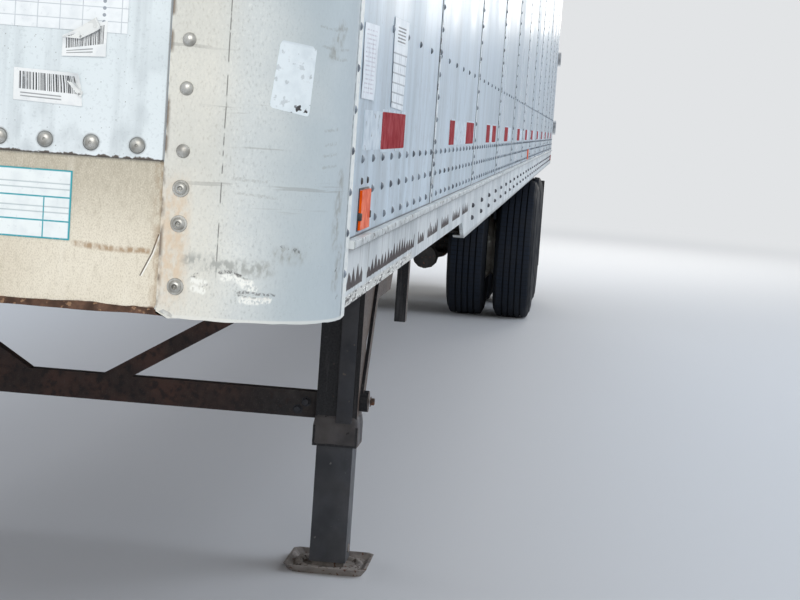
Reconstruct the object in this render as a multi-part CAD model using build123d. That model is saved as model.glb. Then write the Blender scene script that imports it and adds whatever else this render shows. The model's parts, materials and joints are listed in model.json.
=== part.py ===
from build123d import *
import os
from math import ceil, cos, hypot, pi, sin

# Semi trailer: an enclosed van body of sheet panels, parked on its landing legs and tandem wheels.
# Millimetres. +X is towards the nose, +Y is the trailer's left, +Z is up, and the ground is at Z = 0.
# The origin is on the ground, midway between the two ends and on the centre line.

# Overall body
body_length = 14630.0
body_width = 2575.0
body_height = 4115.0
coupler_height = 1170.0
end_proud = 40.0

# Walls, nose corners and side panels
wall = 38.0
corner_radius = 112.5
corner_front_flat = 63.0
corner_side_flange = 44.0
front_sheet_bottom = 1326.0
first_seam = 1284.0
panel_pitch = 1219.2
panel_lap = 25.0
seam_gap = 1.0

# Bottom rails
moulding_top = 1249.0
moulding_height = 10.0
moulding_proud = 8.0
rail_web = 8.0
rail_foot = 25.0
rail_bottom = 1129.0
rail_step_start = 2307.0
rail_step_run = 112.0

# Top rails and roof
top_rail_height = 68.0
top_rail_proud = 3.0
roof_crown = 12.0
roof_sheet = 3.0
bow_width = 45.0
bow_depth = 28.0
bow_pitch = 610.0

# Floor
floor_top = 1275.0
floor_thickness = 35.0
board_count = 8
board_gap = 0.6
crossmember_depth = 102.0
crossmember_flange = 57.0
crossmember_metal = 5.0
crossmember_pitch = 305.0
fit_gap = 0.3

# Upper coupler and kingpin
coupler_length = 2250.0
coupler_plate = 8.0
coupler_beam_width = 64.0
coupler_beam_pitch = 300.0
kingpin_setback = 914.0
kingpin_head_radius = 35.7
kingpin_neck_radius = 25.4
kingpin_drop = 84.0
kingpin_flange_radius = 95.0
kingpin_flange = 12.0

# Rear frame and doors
rear_post_width = 88.0
rear_frame_depth = 75.0
header_height = 100.0
door_thickness = 38.0
door_recess = 25.0
door_edge_gap = 9.0
door_centre_gap = 12.0
door_end_gap = 8.0
hinge_set_back = 20.0
hinge_set_out = 12.5
hinge_pin_radius = 8.0
hinge_knuckle_radius = 12.5
hinge_height = 90.0
hinge_lug_height = 14.0
hinge_count = 5
hinge_end_margin = 160.0
strap_reach = 120.0
strap_metal = 8.0
strap_clearance = 6.0
pin_clearance = 0.05
lock_rod_radius = 13.5
lock_rod_offset = 24.0
lock_rod_places = (300.0, 900.0)
lock_bracket_height = 80.0
cam_overlap = 19.0
cam_width = 44.0
handle_height = 1560.0
handle_length = 430.0

# Landing gear
leg_setback = 3767.0
leg_spread = 861.0
leg_outer = 127.0
leg_inner = 112.0
leg_metal = 6.0
collar_width = 138.0
collar_bottom = 387.0
collar_height = 63.0
leg_tube_length = 875.0
leg_tube_lift = 25.0
gusset_run = 1000.0
gusset_flat = 660.0
gusset_drop = 325.0
gusset_foot = 435.0
gusset_metal = 8.0
hanger_drop = 468.0
hanger_width = 40.0
mount_plate = 12.0
mount_plate_tail = 90.0
shoe_width = 256.0
shoe_metal = 8.0
shoe_clip = 18.0
shoe_rim_height = 23.0
shoe_slope = 16.0
shoe_pin_height = 62.0
shoe_pin_radius = 14.0
shoe_boss_width = 70.0
brace_bottom = 464.0
brace_height = 81.0
brace_depth = 45.0
brace_metal = 6.0
brace_apex = 114.0
brace_rise_end = 966.0
brace_bar = 50.0
stay_run = 450.0
stay_low = 500.0
stay_width = 50.0
stay_metal = 10.0
stay_knob_radius = 32.0
stay_knob_reach = 26.0
shaft_radius = 14.0
shaft_height = 1010.0

# Running gear
rear_axle_inset = 1276.0
axle_spread = 1245.0
wheel_flats = 30
plain_flats = 12
tyre_radius = 515.0
tyre_width = 290.0
tread_width = 218.0
shoulder_drop = 23.0
widest_radius = 400.0
sidewall_flat = 10.0
rim_radius = 288.0
rim_lip = 12.0
rim_width = 220.0
rim_metal = 8.0
disc_metal = 10.0
disc_radius = 196.0
disc_shoulder = 6.0
hand_hole_count = 5
hand_hole_radius = 26.0
hand_hole_circle = 238.0
hub_flange_radius = 165.0
hub_radius = 75.0
hub_end = 70.0
dual_spacing = 343.0
track_half = 948.5
axle_radius = 63.5
spindle_radius = 45.0
spindle_clearance = 0.06
drum_radius = 210.0
drum_width = 213.0
drum_back = 255.0
spring_spread = 540.0
spring_width = 76.0
spring_half_length = 500.0
leaf_metal = 13.0
spring_rise = 52.0
seat_height = 42.0
frame_rail_depth = 250.0
frame_rail_flange = 100.0
frame_rail_metal = 10.0
frame_rail_overhang = 750.0
hanger_reach = 560.0
chamber_radius = 82.0
chamber_length = 200.0
chamber_spread = 470.0
chamber_height = 430.0
flap_inset = 25.5
flap_arm_start = 60.0
flap_height = 720.0
flap_metal = 10.0
flap_gap = 130.0
guard_height = 450.0
guard_tube = 100.0
guard_width = 2300.0

# Lamps
marker_setback = 285.0
marker_length = 93.0
marker_height = 46.0
marker_proud = 4.0
front_lamp_depth = 22.0
clearance_lamp_inset = 195.0
tail_lamp_radius = 51.0
tail_lamp_places = (600.0, 730.0)
header_lamp_pitch = 230.0

# Places that follow from the sizes above
half = body_width / 2
nose = body_length / 2
rear = -nose
rail_face = half + moulding_proud
panel_bottom = moulding_top
top_rail_bottom = body_height - roof_crown - roof_sheet - top_rail_height
header_bottom = top_rail_bottom + top_rail_height - header_height
floor_bottom = floor_top - floor_thickness
crossmember_bottom = floor_bottom - crossmember_depth
rear_frame_front = rear + rear_frame_depth
post_inner = half - rear_post_width
door_face = rear + door_recess
hinge_x = rear - hinge_set_back
hinge_y = half + hinge_set_out
leg_x = nose - leg_setback
kingpin_x = nose - kingpin_setback
axle_places = (rear + rear_axle_inset + axle_spread, rear + rear_axle_inset)


def block(x0, x1, y0, y1, z0, z1):
    centre = Pos((x0 + x1) / 2, (y0 + y1) / 2, (z0 + z1) / 2)
    return centre * Box(x1 - x0, y1 - y0, z1 - z0)


def outline(points):
    return make_face(Polyline(*points, close=True))


def plate_z(points, z0, z1):
    return extrude(Plane.XY.offset(z0) * outline(points), amount=z1 - z0)


def bar_x(points, x0, x1):
    return extrude(Plane.YZ.offset(x0) * outline(points), amount=x1 - x0)


def bar_y(points, y0, y1):
    return extrude(Plane.XZ.offset(-y1) * outline(points), amount=y1 - y0)


def rod_x(radius, x0, x1, y, z):
    return Pos((x0 + x1) / 2, y, z) * Rot(0, 90, 0) * Cylinder(radius, x1 - x0)


def rod_y(radius, x, y0, y1, z):
    return Pos(x, (y0 + y1) / 2, z) * Rot(90, 0, 0) * Cylinder(radius, y1 - y0)


def rod_z(radius, x, y, z0, z1):
    return Pos(x, y, (z0 + z1) / 2) * Cylinder(radius, z1 - z0)


def plain_rod_x(radius, x0, x1, y, z):
    section = Pos(y, z) * RegularPolygon(radius, plain_flats, major_radius=False)
    return extrude(Plane.YZ.offset(x0) * section, amount=x1 - x0)


def plain_rod_y(radius, x, y0, y1, z):
    section = Pos(x, z) * RegularPolygon(radius, plain_flats, major_radius=False)
    return extrude(Plane.XZ.offset(-y1) * section, amount=y1 - y0)


def plain_rod_z(radius, x, y, z0, z1):
    section = Pos(x, y) * RegularPolygon(radius, plain_flats, major_radius=False)
    return extrude(Plane.XY.offset(z0) * section, amount=z1 - z0)


def flat_sided(rings):
    # A solid about the Y axis through rings of (place along Y, radius to its flats). One flat faces down.
    step = 2 * pi / wheel_flats
    turns = [(number + 0.5) * step for number in range(wheel_flats)]
    corner = 1 / cos(step / 2)
    circles = [
        [(radius * corner * sin(turn), place, -radius * corner * cos(turn)) for turn in turns]
        for place, radius in rings
    ]
    faces = [outline(circles[0]), outline(circles[-1])]
    for near, far in zip(circles[:-1], circles[1:]):
        for number in range(wheel_flats):
            after = (number + 1) % wheel_flats
            faces.append(outline([near[number], near[after], far[after], far[number]]))
    return Solid(Shell(faces))


def other_side(solid):
    return mirror(solid, about=Plane.XZ)


def both_sides(solid):
    return [solid, other_side(solid)]


def save(name, pieces):
    solids = [solid for piece in pieces for solid in piece.solids()]
    export_step(Compound(children=solids, label=name), f"parts/{name}.step")


def body_plan(grow):
    # The body seen from above, rounded at the nose, with every edge moved out by grow.
    radius = corner_radius + grow
    side = half + grow
    front = nose + grow
    bend = nose - corner_radius
    edges = [
        Line((rear_frame_front, -side), (bend, -side)),
        CenterArc((bend, -half + corner_radius), radius, -90, 90),
        Line((front, -half + corner_radius), (front, half - corner_radius)),
        CenterArc((bend, half - corner_radius), radius, 0, 90),
        Line((bend, side), (rear_frame_front, side)),
        Line((rear_frame_front, side), (rear_frame_front, -side)),
    ]
    return make_face(edges)


def front_wall():
    # The white sheet with its posts and lining, between the corner posts.
    edge = half - corner_radius - corner_front_flat
    return [block(nose - wall, nose, -edge, edge, front_sheet_bottom, top_rail_bottom)]


def front_lower_panel():
    # The bare lower panel is set back by its cover sheet's thickness.
    edge = half - corner_radius - corner_front_flat
    set_back = 2.0
    return [block(nose - wall, nose - set_back, -edge, edge, coupler_height, front_sheet_bottom)]


def corner_posts():
    # One rounded post, from the flat beside the front sheet to the flange on the side.
    front_edge = half - corner_radius - corner_front_flat
    bend_x = nose - corner_radius
    bend_y = half - corner_radius
    end_x = bend_x - corner_side_flange
    inner = corner_radius - wall
    edges = [
        Line((nose, front_edge), (nose, bend_y)),
        CenterArc((bend_x, bend_y), corner_radius, 0, 90),
        Line((bend_x, half), (end_x, half)),
        Line((end_x, half), (end_x, half - wall)),
        Line((end_x, half - wall), (bend_x, half - wall)),
        CenterArc((bend_x, bend_y), inner, 90, -90),
        Line((nose - wall, bend_y), (nose - wall, front_edge)),
        Line((nose - wall, front_edge), (nose, front_edge)),
    ]
    post = extrude(Plane.XY.offset(coupler_height) * make_face(edges), amount=top_rail_bottom - coupler_height)
    return both_sides(post)


def side_panels():
    # Each panel's outer half is lapped over the next panel's inner half, so no seam goes straight through.
    start = nose - corner_radius - corner_side_flange
    end = rear_frame_front
    count = 1 + ceil((nose - first_seam - end) / panel_pitch)
    seams = [start] + [nose - first_seam - step * panel_pitch for step in range(count - 1)] + [end]
    middle = half - wall / 2
    panels = []
    for place in range(count):
        front_x = seams[place]
        back_x = seams[place + 1]
        is_first = place == 0
        is_last = place == count - 1
        front_gap = 0 if is_first else seam_gap
        front_lap = 0 if is_first else panel_lap
        back_lap = 0 if is_last else panel_lap
        section = [
            (front_x - front_gap, half),
            (front_x - front_gap, middle),
            (front_x - front_gap - front_lap, middle),
            (front_x - front_gap - front_lap, half - wall),
            (back_x - back_lap, half - wall),
            (back_x - back_lap, middle - seam_gap),
            (back_x, middle - seam_gap),
            (back_x, half),
        ]
        if is_first:
            section = [section[0], section[3]] + section[4:]
        if is_last:
            section = section[:5] + section[7:]
        panels.append(plate_z(section, panel_bottom, top_rail_bottom))
    return panels


def bottom_rails():
    # A web with a moulding, a ledge beside the floor and an inward foot on its deeper part.
    web_outer = half - 2.5
    web_inner = web_outer - rail_web
    ledge_inner = half - wall
    ledge_bottom = floor_bottom + 1
    foot_metal = 6.0
    section = [
        (web_outer, rail_bottom),
        (web_outer, moulding_top - moulding_height),
        (rail_face, moulding_top - moulding_height),
        (rail_face, moulding_top),
        (ledge_inner, moulding_top),
        (ledge_inner, ledge_bottom),
        (web_inner, ledge_bottom),
        (web_inner, rail_bottom + foot_metal),
        (web_outer - rail_foot, rail_bottom + foot_metal),
        (web_outer - rail_foot, rail_bottom),
    ]
    front_x = nose - corner_radius - corner_side_flange
    rail = bar_x(section, rear_frame_front, front_x)
    step_x = nose - rail_step_start
    below = rail_bottom - 1
    notch = [
        (front_x + 1, coupler_height),
        (step_x, coupler_height),
        (step_x - rail_step_run, below),
        (front_x + 1, below),
    ]
    rail = rail - bar_y(notch, ledge_inner - 50, rail_face + 1)
    return both_sides(rail)


def top_rails():
    # One rail along each side and one round the nose, cut from a single ring.
    ring = extrude(Plane.XY.offset(top_rail_bottom) * (body_plan(top_rail_proud) - body_plan(-wall)),
                   amount=top_rail_height)
    joint_x = nose - corner_radius - corner_side_flange
    high = body_height + 1
    side_space = block(rear_frame_front - 1, joint_x, 0, half + 50, top_rail_bottom - 1, high)
    nose_space = block(joint_x + seam_gap, nose + 50, -half - 50, half + 50, top_rail_bottom - 1, high)
    rail = ring & side_space
    return both_sides(rail) + [ring & nose_space]


def crown_outline(drop, reach):
    # A crowned line across the body, drop below the roof's top and reach wide on each side.
    top = body_height - drop
    return ThreePointArc((-reach, top - roof_crown), (0, top), (reach, top - roof_crown))


def roof_cover():
    reach = half + top_rail_proud
    upper = crown_outline(0, reach)
    lower = crown_outline(roof_sheet, reach)
    edges = [upper, Line(upper @ 1, lower @ 1), lower, Line(lower @ 0, upper @ 0)]
    cover = extrude(Plane.YZ.offset(rear_frame_front) * make_face(edges), amount=body_length)
    low = body_height - roof_crown - roof_sheet - 5
    plan = extrude(Plane.XY.offset(low) * body_plan(top_rail_proud - 1), amount=40)
    return [cover & plan]


def roof_bows():
    reach = half - wall - fit_gap
    top = body_height - roof_sheet - fit_gap
    # The sheet's edge is lower than its middle by the crown, less what lies beyond the bow's end.
    edge_top = top - roof_crown * (reach / (half + top_rail_proud)) ** 2
    bottom = edge_top - bow_depth
    arc = ThreePointArc((-reach, edge_top), (0, top), (reach, edge_top))
    edges = [arc, Line(arc @ 1, (reach, bottom)), Line((reach, bottom), (-reach, bottom)), Line((-reach, bottom), arc @ 0)]
    section = make_face(edges)
    start = nose - wall - bow_pitch
    count = int((start - rear_frame_front) / bow_pitch) + 1
    return [extrude(Plane.YZ.offset(start - step * bow_pitch) * section, amount=bow_width) for step in range(count)]


def floor_boards():
    # Long boards side by side, trimmed to the inside of the nose corners.
    reach = half - wall - 1
    inside = extrude(Plane.XY.offset(floor_bottom - 1) * body_plan(-wall - 1), amount=floor_thickness + 2)
    pitch = 2 * reach / board_count
    boards = []
    for place in range(board_count):
        left = -reach + place * pitch
        board = block(rear_frame_front, nose, left, left + pitch - board_gap, floor_bottom, floor_top)
        boards.append(board & inside)
    return boards


def crossmembers():
    # I-beams from one bottom rail to the other, behind the coupler.
    wide = crossmember_flange / 2
    thin = crossmember_metal / 2
    low = crossmember_bottom
    high = floor_bottom
    section = [
        (-wide, low),
        (wide, low),
        (wide, low + crossmember_metal),
        (thin, low + crossmember_metal),
        (thin, high - crossmember_metal),
        (wide, high - crossmember_metal),
        (wide, high),
        (-wide, high),
        (-wide, high - crossmember_metal),
        (-thin, high - crossmember_metal),
        (-thin, low + crossmember_metal),
        (-wide, low + crossmember_metal),
    ]
    reach = half - 2.5 - rail_web - fit_gap
    beam = bar_y(section, -reach, reach)
    return [Pos(place, 0, 0) * beam for place in crossmember_places()]


def crossmember_places():
    start = nose - coupler_setback() - coupler_length - crossmember_flange - rail_step_run
    count = int((start - rear_frame_front - crossmember_flange / 2) / crossmember_pitch) + 1
    return [start - step * crossmember_pitch for step in range(count)]


def coupler_setback():
    # The coupler plate starts just behind the front wall.
    return wall + 4


def upper_coupler():
    # The plate that rests on the towing vehicle, with the beams that carry the floor above it.
    reach = half - 2.5 - rail_web - fit_gap
    front_x = nose - coupler_setback()
    back_x = front_x - coupler_length
    coupler = block(back_x, front_x, -reach, reach, coupler_height, coupler_height + coupler_plate)
    metal = crossmember_metal
    base = coupler_height + coupler_plate
    # The beams stand evenly before and behind the kingpin, and one more closes the plate's back edge.
    first = kingpin_x + (coupler_beam_pitch - coupler_beam_width) / 2
    before = int((front_x - coupler_beam_width - first) / coupler_beam_pitch)
    behind = int((first - back_x) / coupler_beam_pitch)
    beam_places = [first + step * coupler_beam_pitch for step in range(-behind, before + 1)]
    for beam_x in [back_x] + beam_places:
        shell = block(beam_x, beam_x + coupler_beam_width, -reach, reach, base, floor_bottom)
        hollow = block(beam_x + metal, beam_x + coupler_beam_width - metal, -reach - 1, reach + 1,
                       base, floor_bottom - metal)
        coupler = coupler + (shell - hollow)
    # Beside the corner posts the coupler keeps inside the walls.
    joint_x = nose - corner_radius - corner_side_flange
    inside = extrude(Plane.XY.offset(coupler_height) * body_plan(-wall - fit_gap), amount=floor_bottom - coupler_height)
    behind_posts = block(back_x, joint_x, -reach, reach, coupler_height, floor_bottom)
    pin_hole = rod_z(kingpin_head_radius + fit_gap, kingpin_x, 0, coupler_height - 1, base + 1)
    return [(coupler & (inside + behind_posts)) - pin_hole]


def kingpin():
    # A pin through the plate, with a flange on the plate's top, a neck for the lock and a head below it.
    collar = 12.0
    head = 28.0
    bottom = coupler_height - kingpin_drop
    seat = coupler_height + coupler_plate
    profile = [
        (0, seat + kingpin_flange),
        (kingpin_flange_radius, seat + kingpin_flange),
        (kingpin_flange_radius, seat),
        (kingpin_head_radius, seat),
        (kingpin_head_radius, coupler_height - collar),
        (kingpin_neck_radius, coupler_height - collar),
        (kingpin_neck_radius, bottom + head),
        (kingpin_head_radius, bottom + head),
        (kingpin_head_radius, bottom),
        (0, bottom),
    ]
    pin = revolve(Plane.XZ * outline(profile), axis=Axis.Z)
    return [Pos(kingpin_x, 0, 0) * pin]


def rear_frame():
    # Two posts, a header and a sill round the door opening.
    top = top_rail_bottom + top_rail_height
    whole = block(rear, rear_frame_front, -half, half, rail_bottom, top)
    opening = block(rear - 1, rear_frame_front + 1, -post_inner, post_inner, floor_top, header_bottom)
    frame = whole - opening
    return [frame]


def keepers():
    # Two small lugs beside each cam's tongue, on the sill and on the header.
    lug_width = 14.0
    lug_height = 34.0
    side_gap = 7.0
    depth = hinge_set_back
    lugs = []
    for rod_place in lock_rod_places:
        for z_low in (floor_top - lug_height - 4, header_bottom + 4):
            for side in (1, -1):
                centre = rod_place + side * (cam_width / 2 + side_gap + lug_width / 2)
                lugs.append(block(rear - depth, rear, centre - lug_width / 2, centre + lug_width / 2,
                                  z_low, z_low + lug_height))
    return [mirrored for lug in lugs for mirrored in both_sides(lug)]


def hinge_levels():
    low = floor_top + door_end_gap + hinge_end_margin
    high = header_bottom - door_end_gap - hinge_end_margin
    return [low + (high - low) * place / (hinge_count - 1) for place in range(hinge_count)]


def hinge_lugs():
    # Each hinge has a lug above and below the door's knuckle, joined by the pin.
    radius = hinge_knuckle_radius
    foot = 27.0
    inner_foot = (rear, half - foot)
    outer_foot = (rear, half)
    # The plate's round end goes about the pin between two points of its circle.
    inner_end = (hinge_x - radius * 0.8, hinge_y - radius * 0.6)
    tip = (hinge_x - radius * 0.5 ** 0.5, hinge_y + radius * 0.5 ** 0.5)
    outer_end = (hinge_x + radius * 0.6, hinge_y + radius * 0.8)
    web = make_face([
        Line(inner_foot, inner_end),
        ThreePointArc(inner_end, tip, outer_end),
        Line(outer_end, outer_foot),
        Line(outer_foot, inner_foot),
    ])
    lugs = []
    for level in hinge_levels():
        low = level - hinge_height / 2 - 1
        high = level + hinge_height / 2 + 1
        lug = rod_z(hinge_pin_radius, hinge_x, hinge_y, low - 1, high + 1)
        for bottom in (low - hinge_lug_height, high):
            lug = lug + extrude(Plane.XY.offset(bottom) * web, amount=hinge_lug_height)
        lugs.extend(both_sides(lug))
    return lugs


def door():
    # The left door as a whole panel, recessed in the rear frame.
    return block(door_face, door_face + door_thickness, door_centre_gap / 2, post_inner - door_edge_gap,
                 floor_top + door_end_gap, header_bottom - door_end_gap)


def hinge_straps():
    # A strap lies on the door, steps out past the post and ends in a knuckle round the pin.
    edge = post_inner - door_edge_gap
    metal = strap_metal
    lap_x = rear - strap_clearance
    path = [
        (door_face, edge - strap_reach),
        (door_face, edge - 2),
        (lap_x, edge + 2),
        (lap_x, hinge_y),
        (lap_x - metal, hinge_y),
        (lap_x - metal, edge - metal + 2),
        (door_face - metal, edge - metal - 2),
        (door_face - metal, edge - strap_reach),
    ]
    straps = []
    for level in hinge_levels():
        low = level - hinge_height / 2
        high = level + hinge_height / 2
        strap = plate_z(path, low, high) + rod_z(hinge_knuckle_radius, hinge_x, hinge_y, low, high)
        straps.append(strap - rod_z(hinge_pin_radius + pin_clearance, hinge_x, hinge_y, low - 1, high + 1))
    return straps


def lock_gear():
    # Each lock rod turns in brackets on the door, with a cam at each end and a handle across.
    rod_x_place = door_face - lock_rod_offset
    low = floor_top + door_end_gap + 6
    high = header_bottom - door_end_gap - 6
    outer = rod_x_place - lock_rod_radius - 4
    gear = []
    for rod_place in lock_rod_places:
        piece = plain_rod_z(lock_rod_radius, rod_x_place, rod_place, low, high)
        for level in (low + 150, (low + high) / 2, high - 150 - lock_bracket_height):
            piece = piece + block(outer, door_face, rod_place - 30, rod_place + 30, level, level + lock_bracket_height)
        tongue_x = rear - strap_clearance - 1
        for end_low, end_high, tongue_low, tongue_high in (
            (low, low + 14, floor_top - cam_overlap, low + 14),
            (high - 14, high, high - 14, header_bottom + cam_overlap),
        ):
            near = rod_place - cam_width / 2
            far = rod_place + cam_width / 2
            piece = piece + block(tongue_x - 10, rod_x_place, near, far, end_low, end_high)
            piece = piece + block(tongue_x - 10, tongue_x, near, far, tongue_low, tongue_high)
        grip = block(rod_x_place - 6, rod_x_place + 6, rod_place, rod_place + handle_length,
                     handle_height, handle_height + 30)
        catch_y = rod_place + handle_length - 60
        catch = block(outer, door_face, catch_y - 18, catch_y + 18, handle_height - 12, handle_height + 42)
        hub = block(outer, rod_x_place + lock_rod_radius, rod_place - 20, rod_place + 20,
                    handle_height - 10, handle_height + 40)
        if rod_place + handle_length > post_inner - strap_reach - 20:
            grip = mirror(grip, about=Plane.XZ.offset(-rod_place))
            catch = mirror(catch, about=Plane.XZ.offset(-rod_place))
        gear.append(piece + grip + catch + hub)
    return gear


def dock_bumpers():
    bumper = block(rear - end_proud, rear, half - 150, half - 40, rail_bottom + 10, rail_bottom + 105)
    return both_sides(bumper)


def under_run_guard():
    # A cross tube on two uprights, with a sloping stay ahead of each.
    top = guard_height + guard_tube
    guard = block(rear, rear + guard_tube, -guard_width / 2, guard_width / 2, guard_height, top)
    upright_y = spring_spread
    pieces = guard
    for side in (1, -1):
        near = side * upright_y - 40
        far = side * upright_y + 40
        pieces = pieces + block(rear, rear + 60, near, far, top, rail_bottom)
        stay = [(rear + 60, top), (rear + guard_tube, top), (rear + 430, rail_bottom + 9), (rear + 380, rail_bottom + 9)]
        pieces = pieces + bar_y(stay, near + 20, far - 20)
    return [pieces]


def leg_housings():
    # A square tube with a collar that guides the inner leg, a strip on its face and a mount plate above.
    outer = leg_outer / 2
    top = crossmember_bottom
    tube = block(leg_x - outer, leg_x + outer, leg_spread - outer, leg_spread + outer, collar_bottom, top)
    collar = collar_width / 2
    tube = tube + block(leg_x - collar, leg_x + collar, leg_spread - collar, leg_spread + collar,
                        collar_bottom, collar_bottom + collar_height)
    bore = outer - leg_metal
    tube = tube - block(leg_x - bore, leg_x + bore, leg_spread - bore, leg_spread + bore,
                        collar_bottom + collar_height, top - leg_metal)
    guide = leg_inner / 2 + fit_gap
    tube = tube - block(leg_x - guide, leg_x + guide, leg_spread - guide, leg_spread + guide,
                        collar_bottom - 1, collar_bottom + collar_height + 1)
    strip_y = leg_spread + 25
    tube = tube + block(leg_x + outer, leg_x + outer + 10, strip_y - 23.5, strip_y + 23.5, collar_bottom + 75, top)
    tube = tube + block(leg_x - outer - mount_plate_tail, leg_x + outer + 40, leg_spread - 95, leg_spread + 95,
                        top - mount_plate, top)
    return both_sides(tube)


def leg_tubes():
    # The inner leg is a square tube, open at its foot, that stands over the shoe's boss on a pin.
    inner = leg_inner / 2
    bore = inner - leg_metal
    low = leg_tube_lift
    high = low + leg_tube_length
    tube = block(leg_x - inner, leg_x + inner, leg_spread - inner, leg_spread + inner, low, high)
    tube = tube - block(leg_x - bore, leg_x + bore, leg_spread - bore, leg_spread + bore, low - 1, high + 1)
    hole = rod_y(shoe_pin_radius + fit_gap, leg_x, leg_spread - inner - 1, leg_spread + inner + 1, shoe_pin_height)
    return both_sides(tube - hole)


def shoe_plan(reach, level):
    # A square with clipped corners about the leg, at one level.
    clip = shoe_clip * reach / (shoe_width / 2)
    points = [
        (leg_x - reach, leg_spread - reach + clip),
        (leg_x - reach + clip, leg_spread - reach),
        (leg_x + reach - clip, leg_spread - reach),
        (leg_x + reach, leg_spread - reach + clip),
        (leg_x + reach, leg_spread + reach - clip),
        (leg_x + reach - clip, leg_spread + reach),
        (leg_x - reach + clip, leg_spread + reach),
        (leg_x - reach, leg_spread + reach - clip),
    ]
    return Plane.XY.offset(level) * outline(points)


def sand_shoes():
    # A shallow pressed pan with turned-up edges. A boss in it carries the pin that holds the inner leg.
    rim = shoe_width / 2
    base = rim - shoe_slope
    top = shoe_rim_height
    outer = loft([shoe_plan(base, 0), shoe_plan(rim, top)], ruled=True)
    rise = shoe_slope / (top - shoe_metal)
    inner = loft([
        shoe_plan(base - shoe_metal, shoe_metal),
        shoe_plan(rim - shoe_metal + rise, top + 1),
    ], ruled=True)
    boss_x = shoe_boss_width / 2
    boss_y = leg_inner / 2 - leg_metal - 1
    boss_top = shoe_pin_height + 2 * shoe_pin_radius
    shoe = (outer - inner) + block(leg_x - boss_x, leg_x + boss_x, leg_spread - boss_y, leg_spread + boss_y,
                                   shoe_metal - 1, boss_top)
    pin_reach = leg_inner / 2 + 3
    shoe = shoe + rod_y(shoe_pin_radius, leg_x, leg_spread - pin_reach, leg_spread + pin_reach, shoe_pin_height)
    return both_sides(shoe)


def leg_cross_brace():
    # A channel between the legs, and a bar up to each leg from near its middle.
    reach = leg_spread - leg_outer / 2
    depth = brace_depth
    metal = brace_metal
    low = brace_bottom
    high = brace_bottom + brace_height
    front_x = leg_x + depth / 2
    section = [
        (front_x, low),
        (front_x, high),
        (front_x - depth, high),
        (front_x - depth, high - metal),
        (front_x - metal, high - metal),
        (front_x - metal, low + metal),
        (front_x - depth, low + metal),
        (front_x - depth, low),
    ]
    brace = bar_y(section, -reach, reach)
    rise = brace_rise_end - high
    run = reach - brace_apex
    length = hypot(rise, run)
    # Each bar is an angle. Its web starts inside the channel's web, and its lip inside the top flange.
    for width, start_z, back_x in (
        (brace_bar, high - brace_height / 2, front_x - metal),
        (metal, high - metal / 2, front_x - depth),
    ):
        start_y = brace_apex - (high - start_z) * run / rise
        for side in (1, -1):
            bar = [
                (side * start_y, start_z),
                (side * reach, brace_rise_end),
                (side * reach, brace_rise_end - width * length / run),
                (side * (start_y + width * length / rise), start_z),
            ]
            brace = brace + bar_x(bar, back_x, front_x)
    return [brace]


def leg_gusset():
    # A side plate from the leg's back along under the floor, with a hanger bar at its tail.
    outer = leg_outer / 2
    back = leg_x - outer
    top = crossmember_bottom
    tail = back - gusset_run
    plate = [
        (back, top - mount_plate),
        (back, top - gusset_foot),
        (back - 180, top - gusset_drop),
        (back - gusset_flat, top - gusset_drop),
        (tail, top),
        (back - mount_plate_tail, top),
        (back - mount_plate_tail, top - mount_plate),
    ]
    plate_y = leg_spread + outer
    hanger_y = plate_y - gusset_metal
    hanger = block(tail - 20, tail + 40, hanger_y, hanger_y + hanger_width, top - hanger_drop, top)
    return bar_y(plate, plate_y - gusset_metal, plate_y) + hanger


def leg_stays():
    # A flat bar runs from a knob on each leg's outer side up beside the gusset to a bracket under the floor.
    near = leg_spread + leg_outer / 2
    far = near + stay_metal
    top = crossmember_bottom
    stay = [
        (leg_x - stay_width / 2, stay_low),
        (leg_x + stay_width / 2, stay_low),
        (leg_x + stay_width / 2, stay_low + stay_width),
        (leg_x + stay_width / 2 - stay_run, top),
        (leg_x - stay_width / 2 - stay_run, top),
        (leg_x - stay_width / 2, stay_low + stay_width / 2),
    ]
    knob = plain_rod_y(stay_knob_radius, leg_x, near, near + stay_knob_reach, stay_low + stay_width / 2)
    foot = block(leg_x - stay_run - 95, leg_x - stay_run + 95, near - gusset_metal, far, top - 60, top)
    return both_sides(bar_y(stay, near, far) + knob + foot + leg_gusset())


def leg_gear():
    # A cross shaft joins the legs, with a gear case and a folded crank on the right leg.
    outer = leg_outer / 2
    reach = leg_spread - outer
    back_x = leg_x - 30
    shaft = plain_rod_y(shaft_radius, back_x, -reach, reach, shaft_height)
    case_y = leg_spread + outer
    case = block(leg_x - 45, leg_x + 45, case_y, case_y + 55, shaft_height - 70, shaft_height + 60)
    stub = plain_rod_y(shaft_radius, leg_x, case_y + 55, case_y + 110, shaft_height - 20)
    crank_y = case_y + 95
    crank = block(leg_x - 14, leg_x + 14, crank_y - 6, crank_y + 6, shaft_height - 330, shaft_height - 6)
    grip = plain_rod_y(12, leg_x, crank_y - 60, crank_y + 6, shaft_height - 316)
    return [shaft, other_side(case + stub + crank + grip)]


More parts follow.
